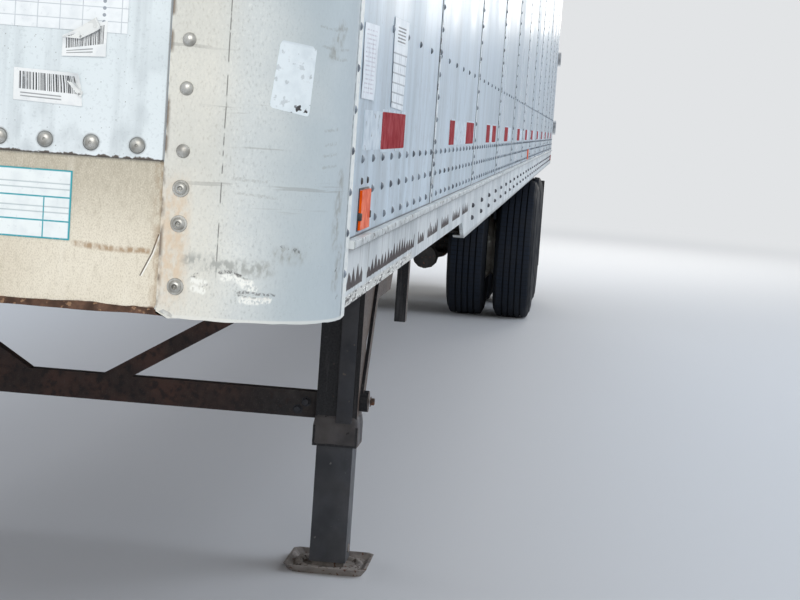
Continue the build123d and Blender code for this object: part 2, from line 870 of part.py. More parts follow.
def frame_rails():
    # Two I-beams under the floor carry the spring hangers, with three bars between them.
    high = crossmember_bottom
    low = high - frame_rail_depth
    wide = frame_rail_flange / 2
    thin = frame_rail_metal / 2
    metal = frame_rail_metal
    centre = spring_spread
    section = [
        (centre - wide, low),
        (centre + wide, low),
        (centre + wide, low + metal),
        (centre + thin, low + metal),
        (centre + thin, high - metal),
        (centre + wide, high - metal),
        (centre + wide, high),
        (centre - wide, high),
        (centre - wide, high - metal),
        (centre - thin, high - metal),
        (centre - thin, low + metal),
        (centre - wide, low + metal),
    ]
    front_x = axle_places[0] + frame_rail_overhang
    back_x = axle_places[1] - frame_rail_overhang
    rail = bar_x(section, back_x, front_x)
    taper = [(front_x - 180, low - 1), (front_x + 1, low - 1), (front_x + 1, low + 150)]
    rail = rail - bar_y(taper, centre - wide - 1, centre + wide + 1)
    rails = rail + other_side(rail)
    inner = centre - thin
    for bar_place in hanger_places():
        rails = rails + block(bar_place - 40, bar_place + 40, -inner, inner, low + 60, low + 140)
    return rails


def hanger_places():
    middle = (axle_places[0] + axle_places[1]) / 2
    return (axle_places[0] + hanger_reach, middle, axle_places[1] - hanger_reach)


def spring_end_top():
    return tyre_radius + axle_radius + seat_height + spring_rise + leaf_metal


def spring_hangers():
    # Side plates hang from the frame rail, with a pad across them that the spring's end bears on.
    top = crossmember_bottom - frame_rail_depth
    pad_bottom = spring_end_top() + fit_gap
    gap = spring_width / 2 + 5
    metal = 8.0
    hangers = []
    for place in (hanger_places()[0], hanger_places()[2]):
        side_plate = [
            (place - 80, top),
            (place + 80, top),
            (place + 60, pad_bottom - 90),
            (place - 60, pad_bottom - 90),
        ]
        hanger = block(place - 66, place + 66, spring_spread - gap, spring_spread + gap, pad_bottom, pad_bottom + 14)
        for near in (spring_spread - gap - metal, spring_spread + gap):
            hanger = hanger + bar_y(side_plate, near, near + metal)
        hangers.extend(both_sides(hanger))
    return hangers


def equalisers():
    # The middle hanger holds a pin, and the rocker on it takes the inner ends of both springs.
    top = crossmember_bottom - frame_rail_depth
    place = hanger_places()[1]
    pad_bottom = spring_end_top() + fit_gap
    gap = spring_width / 2 + 5
    metal = 8.0
    pin_z = pad_bottom + 70
    plate = [(place - 90, top), (place + 90, top), (place + 45, pin_z - 50), (place - 45, pin_z - 50)]
    hanger = rod_y(22, place, spring_spread - gap - metal, spring_spread + gap + metal, pin_z)
    for near in (spring_spread - gap - metal, spring_spread + gap):
        hanger = hanger + bar_y(plate, near, near + metal)
    reach = axle_spread / 2 - spring_half_length + 60
    rocker = [
        (place - reach, pad_bottom),
        (place - reach, pad_bottom + 22),
        (place - 45, pin_z + 45),
        (place + 45, pin_z + 45),
        (place + reach, pad_bottom + 22),
        (place + reach, pad_bottom),
        (place + 40, pad_bottom + 26),
        (place - 40, pad_bottom + 26),
    ]
    beam = bar_y(rocker, spring_spread - spring_width / 2, spring_spread + spring_width / 2)
    beam = beam - rod_y(22 + pin_clearance, place, spring_spread - gap, spring_spread + gap, pin_z)
    return both_sides(hanger), both_sides(beam)


def leaf_springs():
    # Three leaves, each shorter than the one above, clamped on the axle seat.
    base = tyre_radius + axle_radius + seat_height
    springs = []
    for place in axle_places:
        pack = None
        for number, share in enumerate((1.0, 0.72, 0.45)):
            reach = spring_half_length * share
            low = base + (2 - number) * leaf_metal
            rise = (spring_rise - 2 * leaf_metal) * share * share
            lower = ThreePointArc((place - reach, low + rise), (place, low), (place + reach, low + rise))
            upper = Pos(0, leaf_metal) * lower
            edges = [lower, Line(lower @ 1, upper @ 1), upper, Line(upper @ 0, lower @ 0)]
            face = Plane.XZ.offset(-spring_spread - spring_width / 2) * make_face(edges)
            leaf = extrude(face, amount=spring_width)
            pack = leaf if pack is None else pack + leaf
        clamp = block(place - 70, place + 70, spring_spread - spring_width / 2 - 14, spring_spread + spring_width / 2 + 14,
                      base + 3 * leaf_metal + 1, base + 3 * leaf_metal + 17)
        springs.extend(both_sides(pack + clamp))
    return springs


def axle_seats(place):
    # The seat on the axle beam that the spring is clamped to.
    wide = spring_width / 2
    top = tyre_radius + axle_radius + seat_height
    seat = block(place - 60, place + 60, spring_spread - wide, spring_spread + wide, tyre_radius, top)
    return seat + other_side(seat)


def axles():
    beams = []
    drum_face = track_half - 270
    for place in axle_places:
        beam = rod_y(axle_radius, place, -drum_face, drum_face, tyre_radius)
        beam = beam + rod_y(spindle_radius, place, -track_half - 44, track_half + 44, tyre_radius)
        beams.append(beam + axle_seats(place))
    return beams


def brake_gear():
    # Dust plates behind the drums, cam tubes, slack arms and the chambers with their brackets.
    pieces = []
    plate_y = track_half - 270
    for place in axle_places:
        cam_x = place + 110
        cam_z = tyre_radius + 30
        shield = plain_rod_y(drum_radius - 5, place, plate_y, plate_y + 8, tyre_radius)
        shield = shield - rod_y(spindle_radius + fit_gap, place, plate_y - 1, plate_y + 9, tyre_radius)
        tube = plain_rod_y(22, cam_x, chamber_spread + 15, plate_y, cam_z)
        arm = block(cam_x - 24, cam_x + 24, chamber_spread - 15, chamber_spread + 15, chamber_height - 20, cam_z + 30)
        rod = plain_rod_x(10, cam_x + 24, cam_x + 130, chamber_spread, chamber_height)
        back_x = cam_x + 130
        chamber = plain_rod_x(chamber_radius, back_x, back_x + 70, chamber_spread, chamber_height)
        chamber = chamber + plain_rod_x(chamber_radius + 8, back_x + 70, back_x + 82, chamber_spread, chamber_height)
        chamber = chamber + plain_rod_x(chamber_radius, back_x + 82, back_x + chamber_length, chamber_spread, chamber_height)
        bracket_y = chamber_spread - 70
        bracket = block(place + axle_radius + 0.1, back_x, bracket_y - 6, bracket_y + 6, tyre_radius - 30, tyre_radius + 30)
        plate = block(back_x - 8, back_x, bracket_y - 6, chamber_spread + 60, chamber_height - 30, tyre_radius + 30)
        pieces.extend(both_sides(shield + tube + arm + rod + chamber + bracket + plate))
    return pieces


def rim():
    # The outer rim about its own middle. Its disc dishes in to where it meets the other rim's disc.
    lip = rim_radius + rim_lip
    inner = rim_radius - rim_metal
    edge = rim_width / 2
    lip_edge = edge - lip_width()
    step = 1.5
    mid_plane = dual_spacing / 2
    barrel = flat_sided([
        (-edge, lip),
        (-lip_edge - step, lip),
        (-lip_edge, rim_radius),
        (lip_edge, rim_radius),
        (lip_edge + step, lip),
        (edge, lip),
    ])
    barrel = barrel - flat_sided([(-edge - 1, inner), (edge + 1, inner)])
    seat = inner + rim_metal / 4
    cone_back = -edge * 0.77
    cone_front = -edge * 0.65
    dish = flat_sided([(-mid_plane, disc_radius), (cone_back, seat), (cone_front, seat)])
    hollow = flat_sided([(disc_metal - mid_plane, disc_radius - disc_shoulder), (cone_front + 1, inner)])
    disc = dish - hollow
    # Hand holes through the sloping part, between the hub's bolts and the barrel.
    for number in range(hand_hole_count):
        turn = Rot(0, 360 * number / hand_hole_count, 0)
        hole = extrude(Plane.XZ * RegularPolygon(hand_hole_radius, 6), amount=mid_plane)
        disc = disc - turn * Pos(0, 0, hand_hole_circle) * hole
        disc = disc - turn * Pos(0, -mid_plane, hand_hole_circle) * hole
    return barrel + disc


def lip_width():
    return rim_lip - 2


def wheel_set(place):
    # Both rims of one side with the hub and the brake drum, as one piece about the axle.
    outer_rim = rim()
    shift = dual_spacing / 2
    bore = spindle_radius + spindle_clearance
    drum_end = drum_width - drum_back
    hub = flat_sided([
        (-drum_back, drum_radius),
        (drum_end, drum_radius),
        (drum_end + 2, hub_flange_radius),
        (disc_metal, hub_flange_radius),
        (disc_metal + 20, hub_radius),
        (hub_end, hub_radius),
    ])
    wheel = Pos(0, shift, 0) * outer_rim + Pos(0, -shift, 0) * other_side(outer_rim) + hub
    wheel = wheel - rod_y(bore, 0, -drum_back - 1, hub_end - 20, 0)
    return Pos(place, track_half, tyre_radius) * wheel


def tyres(place):
    # Two plain casings. Their tread is a finish.
    side = tyre_width / 2
    tread = tread_width / 2
    bead = rim_width / 2 - lip_width() - 0.5
    bead_radius = rim_radius + rim_lip + 1
    casing = flat_sided([
        (-side, widest_radius),
        (-(side + tread) / 2 - 6, tyre_radius - shoulder_drop),
        (-tread, tyre_radius),
        (tread, tyre_radius),
        ((side + tread) / 2 + 6, tyre_radius - shoulder_drop),
        (side, widest_radius),
    ])
    slope = (widest_radius - sidewall_flat - bead_radius) / (side - bead)
    flank = flat_sided([(bead, bead_radius), (side + 1, widest_radius - sidewall_flat + slope)])
    bore = flat_sided([(-side - 1, rim_radius + 0.5), (side + 1, rim_radius + 0.5)])
    casing = casing - flank - other_side(flank) - bore
    return [Pos(place, track_half + shift, tyre_radius) * casing for shift in (dual_spacing / 2, -dual_spacing / 2)]


def mud_flaps():
    # A bracket on the frame rail's end holds each flap behind the rear tyres.
    flap_x = axle_places[1] - tyre_radius - flap_gap
    inner = spring_spread + frame_rail_flange / 2
    outer = half - flap_inset
    low = crossmember_bottom - frame_rail_depth
    plate = block(flap_x, flap_x + 90, inner, inner + 8, low, crossmember_bottom)
    arm = block(flap_x, flap_x + 40, inner, outer, low + 60, low + 100)
    flap = block(flap_x - flap_metal, flap_x, inner + flap_arm_start, outer, low + 100 - flap_height, low + 100)
    return both_sides(plate + arm), both_sides(flap)


def air_tanks():
    # Two tanks across the trailer ahead of the frame rails, each on two straps.
    radius = 115.0
    tanks = []
    rails_end = axle_places[0] + frame_rail_overhang
    clear_places = [place for place in crossmember_places() if place > rails_end + radius + 60]
    for tank_x in clear_places[-2:]:
        tank_z = crossmember_bottom - radius - 30
        tank = plain_rod_y(radius, tank_x, -350, 350, tank_z)
        for saddle_y in (-220, 220):
            tank = tank + block(tank_x - 60, tank_x + 60, saddle_y - 20, saddle_y + 20, tank_z, crossmember_bottom)
        tanks.append(tank)
    return tanks


def sockets():
    # A shallow box on the front wall with two air couplings and the electric socket.
    low = front_sheet_bottom + 90
    box = block(nose, nose + end_proud, -170, 170, low, low + 130)
    box = box - block(nose + 8, nose + end_proud + 1, -160, 160, low + 10, low + 120)
    for place in (-100, 0, 100):
        box = box + plain_rod_x(30, nose + 4, nose + end_proud - 4, place, low + 65)
    return [box]


def amber_lamps():
    # Side markers stand on the first and middle panels, and a pair stands on the front top rail.
    lamps = []
    low = panel_bottom + 7
    for setback in (marker_setback, body_length / 2 - 200):
        lamp_x = nose - setback
        lamps.extend(both_sides(block(lamp_x - marker_length / 2, lamp_x + marker_length / 2,
                                      half, half + marker_proud, low, low + marker_height)))
    top_low = top_rail_bottom + 12
    front_x = nose + top_rail_proud
    outer_y = half - clearance_lamp_inset
    lamps.extend(both_sides(block(front_x, front_x + front_lamp_depth, outer_y - marker_length, outer_y,
                                  top_low, top_low + marker_height)))
    return lamps


def red_lamps():
    # Stop and tail lamps on the sill, three on the header, and a side marker low on each rail.
    lamps = []
    lamp_z = (rail_bottom + floor_top) / 2
    for place in tail_lamp_places:
        lamps.extend(both_sides(rod_x(tail_lamp_radius, rear - 10, rear, place, lamp_z)))
    header_z = header_bottom + header_height / 2 + 14
    for place in (0.0, header_lamp_pitch, -header_lamp_pitch):
        lamps.append(block(rear - 22, rear, place - 50, place + 50, header_z - 20, header_z + 20))
    side_x = rear_frame_front + 260
    web_outer = half - 2.5
    lamps.extend(both_sides(block(side_x - marker_length / 2, side_x + marker_length / 2, web_outer,
                                  half + marker_proud, rail_bottom + 30, rail_bottom + 30 + marker_height)))
    return lamps


def main():
    os.makedirs("parts", exist_ok=True)
    save("front_wall", front_wall())
    save("front_lower_panel", front_lower_panel())
    save("corner_posts", corner_posts())
    left_panels = side_panels()
    save("side_panels_left", left_panels)
    save("side_panels_right", [other_side(panel) for panel in left_panels])
    save("bottom_rails", bottom_rails())
    save("top_rails", top_rails())
    save("roof_sheet", roof_cover())
    save("roof_bows", roof_bows())
    save("floor_boards", floor_boards())
    save("crossmembers", crossmembers())
    save("upper_coupler", upper_coupler())
    save("kingpin", kingpin())
    save("rear_frame", rear_frame())
    save("lock_keepers", keepers())
    save("hinge_lugs", hinge_lugs())
    save("dock_bumpers", dock_bumpers())
    save("under_run_guard", under_run_guard())
    save("leg_housings", leg_housings())
    save("leg_tubes", leg_tubes())
    save("sand_shoes", sand_shoes())
    save("leg_cross_brace", leg_cross_brace())
    save("leg_stays", leg_stays())
    save("leg_gear", leg_gear())
    brackets, flaps = mud_flaps()
    save("frame_rails", [frame_rails() + brackets[0] + brackets[1]])
    save("mud_flaps", flaps)
    middle_hangers, rockers = equalisers()
    save("spring_hangers", spring_hangers() + middle_hangers)
    save("equaliser_beams", rockers)
    save("leaf_springs", leaf_springs())
    save("axles", axles())
    save("brake_gear", brake_gear())
    save("air_tanks", air_tanks())
    save("sockets", sockets())
    save("amber_lamps", amber_lamps())
    save("red_lamps", red_lamps())
    for axle_name, place in zip(("front", "rear"), axle_places):
        wheel = wheel_set(place)
        casings = tyres(place)
        save(f"wheel_{axle_name}_left", [wheel])
        save(f"wheel_{axle_name}_right", [other_side(wheel)])
        save(f"tyres_{axle_name}_left", casings)
        save(f"tyres_{axle_name}_right", [other_side(casing) for casing in casings])
    panel = door()
    straps = hinge_straps()
    gear = lock_gear()
    save("door_left", [panel])
    save("door_right", [other_side(panel)])
    fittings = straps + gear
    save("door_fittings_left", fittings)
    save("door_fittings_right", [other_side(piece) for piece in fittings])


main()
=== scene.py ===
"""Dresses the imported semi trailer: finishes, sheets, fixings, labels, lamps, tyres, wheels and the studio."""

import json
import logging
import math
from dataclasses import dataclass
from enum import Enum
from typing import Callable, Dict, List, Sequence, Tuple

import bpy
import numpy as np
from mathutils import Matrix, Vector, noise


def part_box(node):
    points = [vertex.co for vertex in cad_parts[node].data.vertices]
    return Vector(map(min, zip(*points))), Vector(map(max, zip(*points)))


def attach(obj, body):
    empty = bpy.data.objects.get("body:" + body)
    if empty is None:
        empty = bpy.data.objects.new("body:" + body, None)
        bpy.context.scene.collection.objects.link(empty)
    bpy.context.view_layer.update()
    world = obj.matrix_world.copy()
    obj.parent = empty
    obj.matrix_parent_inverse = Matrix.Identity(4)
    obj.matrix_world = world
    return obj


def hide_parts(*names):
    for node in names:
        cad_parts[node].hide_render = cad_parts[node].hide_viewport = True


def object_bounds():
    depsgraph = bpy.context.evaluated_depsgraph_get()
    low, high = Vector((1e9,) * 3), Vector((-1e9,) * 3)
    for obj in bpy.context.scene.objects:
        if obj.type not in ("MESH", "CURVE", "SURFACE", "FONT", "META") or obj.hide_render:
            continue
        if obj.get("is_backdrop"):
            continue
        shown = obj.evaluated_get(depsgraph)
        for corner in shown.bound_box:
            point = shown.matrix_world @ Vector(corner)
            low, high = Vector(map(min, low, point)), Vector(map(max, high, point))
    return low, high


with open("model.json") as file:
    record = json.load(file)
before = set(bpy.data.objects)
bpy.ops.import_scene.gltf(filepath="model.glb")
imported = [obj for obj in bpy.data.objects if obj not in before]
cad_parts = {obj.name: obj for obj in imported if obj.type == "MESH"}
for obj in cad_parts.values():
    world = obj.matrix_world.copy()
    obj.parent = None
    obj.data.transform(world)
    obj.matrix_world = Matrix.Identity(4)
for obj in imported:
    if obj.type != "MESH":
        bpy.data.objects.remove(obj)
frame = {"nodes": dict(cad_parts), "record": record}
cad_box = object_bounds()

Colour = Tuple[float, float, float]
Point = Tuple[float, float, float]
Piece = bpy.types.Object
Material = bpy.types.Material
Socket = bpy.types.NodeSocket
Spot = Tuple[float, float]
Line = Tuple[Spot, ...]

AHEAD: Point = (1.0, 0.0, 0.0)
BEHIND: Point = (-1.0, 0.0, 0.0)

log = logging.getLogger("semi_trailer")


class Body(Enum):
    """The bodies that pieces ride on."""

    TRAILER = "trailer"
    DOOR_LEFT = "rear_door_left"
    DOOR_RIGHT = "rear_door_right"


class Side(Enum):
    """The two sides of the trailer, as the sign of Y."""

    LEFT = 1
    RIGHT = -1

    @property
    def word(self) -> str:
        """The side's name as pieces carry it."""
        return self.name.lower()

    @property
    def out(self) -> Point:
        """The way that the side faces."""
        return (0.0, float(self.value), 0.0)


class LabelKind(Enum):
    """What a label shows: plain generic marks and no lettering."""

    GRID = "grid"
    BARS = "bars"
    FRAMED = "framed"
    WORN = "worn"
    LINED = "lined"
    LADDER = "ladder"


def srgb(red: int, green: int, blue: int) -> Colour:
    """Turns a colour as seen, 0 to 255, into the linear value that shaders take.

    Args:
        red: Red, 0 to 255.
        green: Green, 0 to 255.
        blue: Blue, 0 to 255.

    Returns:
        The linear colour.
    """
    shares = (red / 255, green / 255, blue / 255)
    return tuple(v / 12.92 if v <= 0.04045 else ((v + 0.055) / 1.055) ** 2.4 for v in shares)


class Graph:
    """A material's node tree, with short ways to add the nodes that the finishes use."""

    def __init__(self, name: str) -> None:
        """Starts a material with an empty shader.

        Args:
            name: The material's name.
        """
        self.material = bpy.data.materials.new(name)
        self.material.use_nodes = True
        self.tree = self.material.node_tree
        self.shader = self.tree.nodes["Principled BSDF"]
        self.place = self.add("ShaderNodeTexCoord").outputs["Object"]
        parts = self.add("ShaderNodeSeparateXYZ")
        self.link(self.place, parts.inputs[0])
        self.x, self.y, self.z = parts.outputs[:3]
        self.colour: object = (1.0, 1.0, 1.0)

    def add(self, kind: str, **settings: object) -> bpy.types.Node:
        """Adds a node and sets its options.

        Args:
            kind: The node's type.
            **settings: Options by name.

        Returns:
            The node.
        """
        node = self.tree.nodes.new(kind)
        for key, value in settings.items():
            setattr(node, key, value)
        return node

    def link(self, source: Socket, target: Socket) -> None:
        """Joins an output to an input."""
        self.tree.links.new(source, target)

    def feed(self, target: Socket, value: object) -> None:
        """Gives an input a socket or a plain value.

        Args:
            target: The input.
            value: A socket to link, or a number, colour or vector to set.
        """
        if isinstance(value, bpy.types.NodeSocket):
            self.link(value, target)
        elif isinstance(value, (tuple, list)) and len(value) == 3 and target.type == "RGBA":
            target.default_value = (*value, 1.0)
        else:
            target.default_value = value

    def noise(self, scale: float, detail: float = 3.0, stretch: Point = (1.0, 1.0, 1.0),
              shift: float = 0.0) -> Socket:
        """Soft noise in the object's own metres.

        Args:
            scale: Cells per metre.
            detail: How many finer layers it has.
            stretch: How much denser it is along each axis.
            shift: An offset that makes it differ from others.

        Returns:
            A value from 0 to 1.
        """
        mapping = self.add("ShaderNodeMapping")
        mapping.inputs["Scale"].default_value = stretch
        mapping.inputs["Location"].default_value = (shift, shift * 0.7, shift * 0.4)
        self.link(self.place, mapping.inputs["Vector"])
        node = self.add("ShaderNodeTexNoise")
        node.inputs["Scale"].default_value = scale
        node.inputs["Detail"].default_value = detail
        self.link(mapping.outputs[0], node.inputs["Vector"])
        return node.outputs["Fac"]

    def cells(self, scale: float, stretch: Point = (1.0, 1.0, 1.0)) -> Socket:
        """Distance to scattered points, for specks and pits.

        Args:
            scale: Cells per metre.
            stretch: How much denser it is along each axis.

        Returns:
            The distance, 0 at each point.
        """
        mapping = self.add("ShaderNodeMapping")
        mapping.inputs["Scale"].default_value = stretch
        self.link(self.place, mapping.inputs["Vector"])
        node = self.add("ShaderNodeTexVoronoi")
        node.inputs["Scale"].default_value = scale
        self.link(mapping.outputs[0], node.inputs["Vector"])
        return node.outputs["Distance"]

    def ramp(self, value: Socket, low: float, high: float, start: float = 0.0, end: float = 1.0) -> Socket:
        """Maps a range of a value to another range and holds it there.

        Args:
            value: The value.
            low: Where the range starts.
            high: Where the range ends.
            start: What the low end becomes.
            end: What the high end becomes.

        Returns:
            The mapped value.
        """
        node = self.add("ShaderNodeMapRange", clamp=True, interpolation_type="SMOOTHSTEP")
        self.feed(node.inputs["Value"], value)
        node.inputs["From Min"].default_value = low
        node.inputs["From Max"].default_value = high
        node.inputs["To Min"].default_value = start
        node.inputs["To Max"].default_value = end
        return node.outputs[0]

    def step(self, operation: str, first: object, second: object = 0.0) -> Socket:
        """One arithmetic step.

        Args:
            operation: The Math node's operation.
            first: A socket or a number.
            second: A socket or a number.

        Returns:
            The result.
        """
        node = self.add("ShaderNodeMath", operation=operation)
        self.feed(node.inputs[0], first)
        self.feed(node.inputs[1], second)
        return node.outputs[0]

    def times(self, first: object, *others: object) -> object:
        """Multiplies values in order."""
        for other in others:
            first = self.step("MULTIPLY", first, other)
        return first

    def plus(self, first: object, *others: object) -> object:
        """Adds values in order."""
        for other in others:
            first = self.step("ADD", first, other)
        return first

    def minus(self, first: object, second: object) -> Socket:
        """Takes the second value from the first."""
        return self.step("SUBTRACT", first, second)

    def absolute(self, value: Socket) -> Socket:
        """The value without its sign."""
        return self.step("ABSOLUTE", value)

    def vector(self, operation: str, first: object, second: object, scale: float = 1.0) -> bpy.types.Node:
        """One step of vector arithmetic.

        Args:
            operation: The Vector Math node's operation.
            first: A socket or a vector.
            second: A socket or a vector.
            scale: The factor, where the operation takes one.

        Returns:
            The node, with its vector first and its number second.
        """
        node = self.add("ShaderNodeVectorMath", operation=operation)
        self.feed(node.inputs[0], first)
        if operation == "SCALE":
            self.feed(node.inputs["Scale"], scale)
        elif operation != "LENGTH":
            self.feed(node.inputs[1], second)
        return node

    def own_flat(self) -> Tuple[Socket, Socket]:
        """The piece's own flat coordinates.

        Returns:
            Across and up, each from 0 to 1.
        """
        parts = self.add("ShaderNodeSeparateXYZ")
        self.link(self.add("ShaderNodeTexCoord").outputs["UV"], parts.inputs[0])
        return parts.outputs[0], parts.outputs[1]

    def flat_place(self, across: Socket, up: Socket) -> Socket:
        """Joins two coordinates into a flat place."""
        node = self.add("ShaderNodeCombineXYZ")
        self.link(across, node.inputs[0])
        self.link(up, node.inputs[1])
        return node.outputs[0]

    def cloud(self, scale: float) -> Socket:
        """Noise as a vector about zero, to make drawn lines wander.

        Args:
            scale: Cells per metre.

        Returns:
            The vector, from -0.5 to 0.5 each way.
        """
        node = self.add("ShaderNodeTexNoise")
        node.inputs["Scale"].default_value = scale
        node.inputs["Detail"].default_value = 3.0
        self.link(self.place, node.inputs["Vector"])
        level = self.vector("SUBTRACT", node.outputs["Color"], (0.5, 0.5, 0.5)).outputs[0]
        return self.vector("MULTIPLY", level, (1.0, 1.0, 0.0)).outputs[0]

    def stroke(self, place: Socket, points: Sequence[Spot], width: float, soft: float) -> Socket:
        """A line drawn through points on a flat place.

        Args:
            place: The flat place.
            points: Across and up of each point in order.
            width: Half the line's width.
            soft: How wide its fading edge is.

        Returns:
            The mask.
        """
        total = None
        for start, end in zip(points[:-1], points[1:]):
            run = (end[0] - start[0], end[1] - start[1], 0.0)
            length = run[0] ** 2 + run[1] ** 2
            offset = self.vector("SUBTRACT", place, (start[0], start[1], 0.0)).outputs[0]
            along = self.vector("DOT_PRODUCT", offset, run).outputs["Value"]
            share = self.add("ShaderNodeMath", operation="MULTIPLY", use_clamp=True)
            self.link(along, share.inputs[0])
            share.inputs[1].default_value = 1.0 / length
            nearest = self.add("ShaderNodeVectorMath", operation="SCALE")
            nearest.inputs[0].default_value = run
            self.link(share.outputs[0], nearest.inputs["Scale"])
            apart = self.vector("SUBTRACT", offset, nearest.outputs[0]).outputs[0]
            distance = self.vector("LENGTH", apart, apart).outputs["Value"]
            line = self.ramp(distance, width, width + soft, 1.0, 0.0)
            total = line if total is None else self.step("MAXIMUM", total, line)
        return total

    def band(self, value: Socket, low: float, high: float, soft: float) -> Socket:
        """A mask that is 1 between two places and fades over a soft edge.

        Args:
            value: The coordinate.
            low: The lower edge.
            high: The upper edge.
            soft: The edge's width.

        Returns:
            The mask.
        """
        rise = self.ramp(value, low - soft, low + soft)
        fall = self.ramp(value, high - soft, high + soft, 1.0, 0.0)
        return self.times(rise, fall)

    def mix(self, share: object, first: object, second: object) -> Socket:
        """Blends two colours.

        Args:
            share: How much of the second colour, a socket or a number.
            first: A colour or a socket.
            second: A colour or a socket.

        Returns:
            The blended colour.
        """
        node = self.add("ShaderNodeMix", data_type="RGBA")
        self.feed(node.inputs["Factor"], share)
        self.feed(node.inputs[6], first)
        self.feed(node.inputs[7], second)
        return node.outputs[2]

    def lay(self, colour: object, *masks: object) -> None:
        """Lays a colour over what is there, as much as the product of the masks says.

        Args:
            colour: The colour, a socket or a value.
            *masks: Sockets or numbers.
        """
        self.colour = self.mix(self.times(*masks), self.colour, colour)

    def relief(self, height: Socket, depth: float, strength: float = 1.0) -> None:
        """Adds a bump to the shader's normal.

        Args:
            height: The height, 0 to 1.
            depth: What a height of 1 means, in metres.
            strength: The bump's strength.
        """
        node = self.add("ShaderNodeBump")
        node.inputs["Strength"].default_value = strength
        node.inputs["Distance"].default_value = depth
        self.link(height, node.inputs["Height"])
        self.link(node.outputs[0], self.shader.inputs["Normal"])

    def finish(self, roughness: object, metallic: object = 0.0) -> Material:
        """Gives the shader its main inputs, with the colour laid so far.

        Args:
            roughness: A socket or a number.
            metallic: A socket or a number.

        Returns:
            The material.
        """
        self.feed(self.shader.inputs["Base Color"], self.colour)
        self.feed(self.shader.inputs["Roughness"], roughness)
        self.feed(self.shader.inputs["Metallic"], metallic)
        return self.material


@dataclass(frozen=True)
class Weathered:
    """Paint, metal, rubber or wood that varies in tone, with streaks, chips, dust and a fine relief."""

    name: str
    base: Colour
    tone: Colour
    tone_scale: float = 6.0
    streak: float = 0.0
    grain: Tuple[float, float, float] = (1.0, 1.0, 1.0)
    grain_scale: float = 160.0
    grain_share: float = 0.25
    chip: Colour = (0.2, 0.2, 0.2)
    chip_share: float = 0.0
    chip_scale: float = 60.0
    dust: Colour = (0.3, 0.28, 0.25)
    dust_share: float = 0.0
    roughness: float = 0.5
    swing: float = 0.12
    metallic: float = 0.0
    relief: float = 0.0002
    shine: float = 0.5

    def build(self) -> Material:
        """Makes the material.

        Returns:
            The material.
        """
        graph = Graph(self.name)
        broad = graph.noise(self.tone_scale, 5.0)
        fine = graph.noise(self.grain_scale, 4.0, self.grain)
        graph.colour = graph.mix(graph.ramp(broad, 0.35, 0.68), self.base, self.tone)
        speckle = graph.ramp(fine, 0.38, 0.66, 0.0, self.grain_share)
        graph.lay(self.tone, speckle)
        if self.streak:
            runs = graph.noise(34.0, 4.0, (1.0, 1.0, 0.06), 3.1)
            graph.lay(self.tone, graph.ramp(runs, 0.5, 0.74, 0.0, self.streak))
        if self.dust_share:
            settled = graph.noise(9.0, 4.0, shift=7.3)
            graph.lay(self.dust, graph.ramp(settled, 0.35, 0.7, 0.0, self.dust_share))
        roughness = graph.ramp(broad, 0.3, 0.7, self.roughness - self.swing, self.roughness + self.swing)
        metallic = self.metallic
        if self.chip_share:
            flakes = graph.noise(self.chip_scale, 6.0, shift=5.7)
            edge = 0.72 - 0.3 * self.chip_share
            chips = graph.ramp(flakes, edge, edge + 0.03)
            graph.lay(self.chip, chips)
        graph.relief(fine, self.relief)
        graph.shader.inputs["Specular IOR Level"].default_value = self.shine
        return graph.finish(roughness, metallic)


@dataclass(frozen=True)
class SideSheetFinish:
    """White-painted side sheet shown bluish grey-white, the blue-grey being painted shade and sky reflection,
    with faint upright streaks and road film above the rail.
    """

    name: str = "side_sheet_paint"
    # The bluish grey of base and pale is painted shade and sky reflection on white paint.
    base: Colour = srgb(179, 198, 214)
    pale: Colour = srgb(193, 208, 220)
    film: Colour = srgb(134, 147, 155)
    far: Colour = srgb(157, 169, 178)
    nose: float = 7.315
    bottom: float = 1.249
    film_top: float = 1.75

    def build(self) -> Material:
        """Makes the material.

        Returns:
            The material.
        """
        graph = Graph(self.name)
        broad = graph.noise(1.6, 4.0, (1.0, 1.0, 0.35))
        runs = graph.noise(38.0, 5.0, (1.0, 1.0, 0.05))
        fine = graph.noise(240.0, 3.0)
        graph.colour = graph.mix(graph.ramp(broad, 0.38, 0.64), self.base, self.pale)
        graph.lay(self.film, graph.ramp(runs, 0.5, 0.72, 0.0, 0.34))
        wide_runs = graph.noise(7.0, 3.0, (1.0, 1.0, 0.03), 6.1)
        graph.lay(self.film, graph.ramp(wide_runs, 0.46, 0.66, 0.0, 0.3))
        back = graph.minus(self.nose, graph.x)
        # Greyer towards the rear: dirt together with painted reflection that darkens the far panels.
        greyer = graph.times(graph.ramp(back, 0.9, 5.5), graph.ramp(broad, 0.3, 0.6, 0.6, 0.92))
        graph.lay(self.far, greyer)
        low = graph.ramp(graph.z, 1.25, self.film_top, 0.5, 0.0)
        dirt = graph.times(low, graph.ramp(graph.noise(14.0, 6.0, (1.0, 1.0, 0.4), 4.0), 0.36, 0.7))
        graph.lay(self.film, dirt)
        splash = graph.ramp(graph.noise(95.0, 4.0, (1.0, 1.0, 0.5), 8.8), 0.58, 0.66, 0.0, 0.5)
        graph.lay(srgb(98, 96, 94), splash, low)
        specks = graph.ramp(graph.cells(46.0), 0.05, 0.09, 0.5, 0.0)
        graph.lay(srgb(112, 110, 106), specks)
        # A dark line along the sheet's bottom edge: painted shadow over the moulding.
        shadow_line = graph.ramp(graph.z, self.bottom + 0.0014, self.bottom + 0.0030, 0.85, 0.0)
        graph.lay(srgb(44, 48, 54), shadow_line)
        waves = graph.noise(3.2, 2.0, (1.0, 1.0, 0.5), 2.0)
        mixed = graph.plus(waves, graph.times(fine, 0.02))
        graph.relief(mixed, 0.004, 0.7)
        graph.feed(graph.shader.inputs["Specular IOR Level"], graph.ramp(back, 0.8, 5.0, 0.14, 0.05))
        return graph.finish(graph.ramp(broad, 0.3, 0.7, 0.22, 0.42))


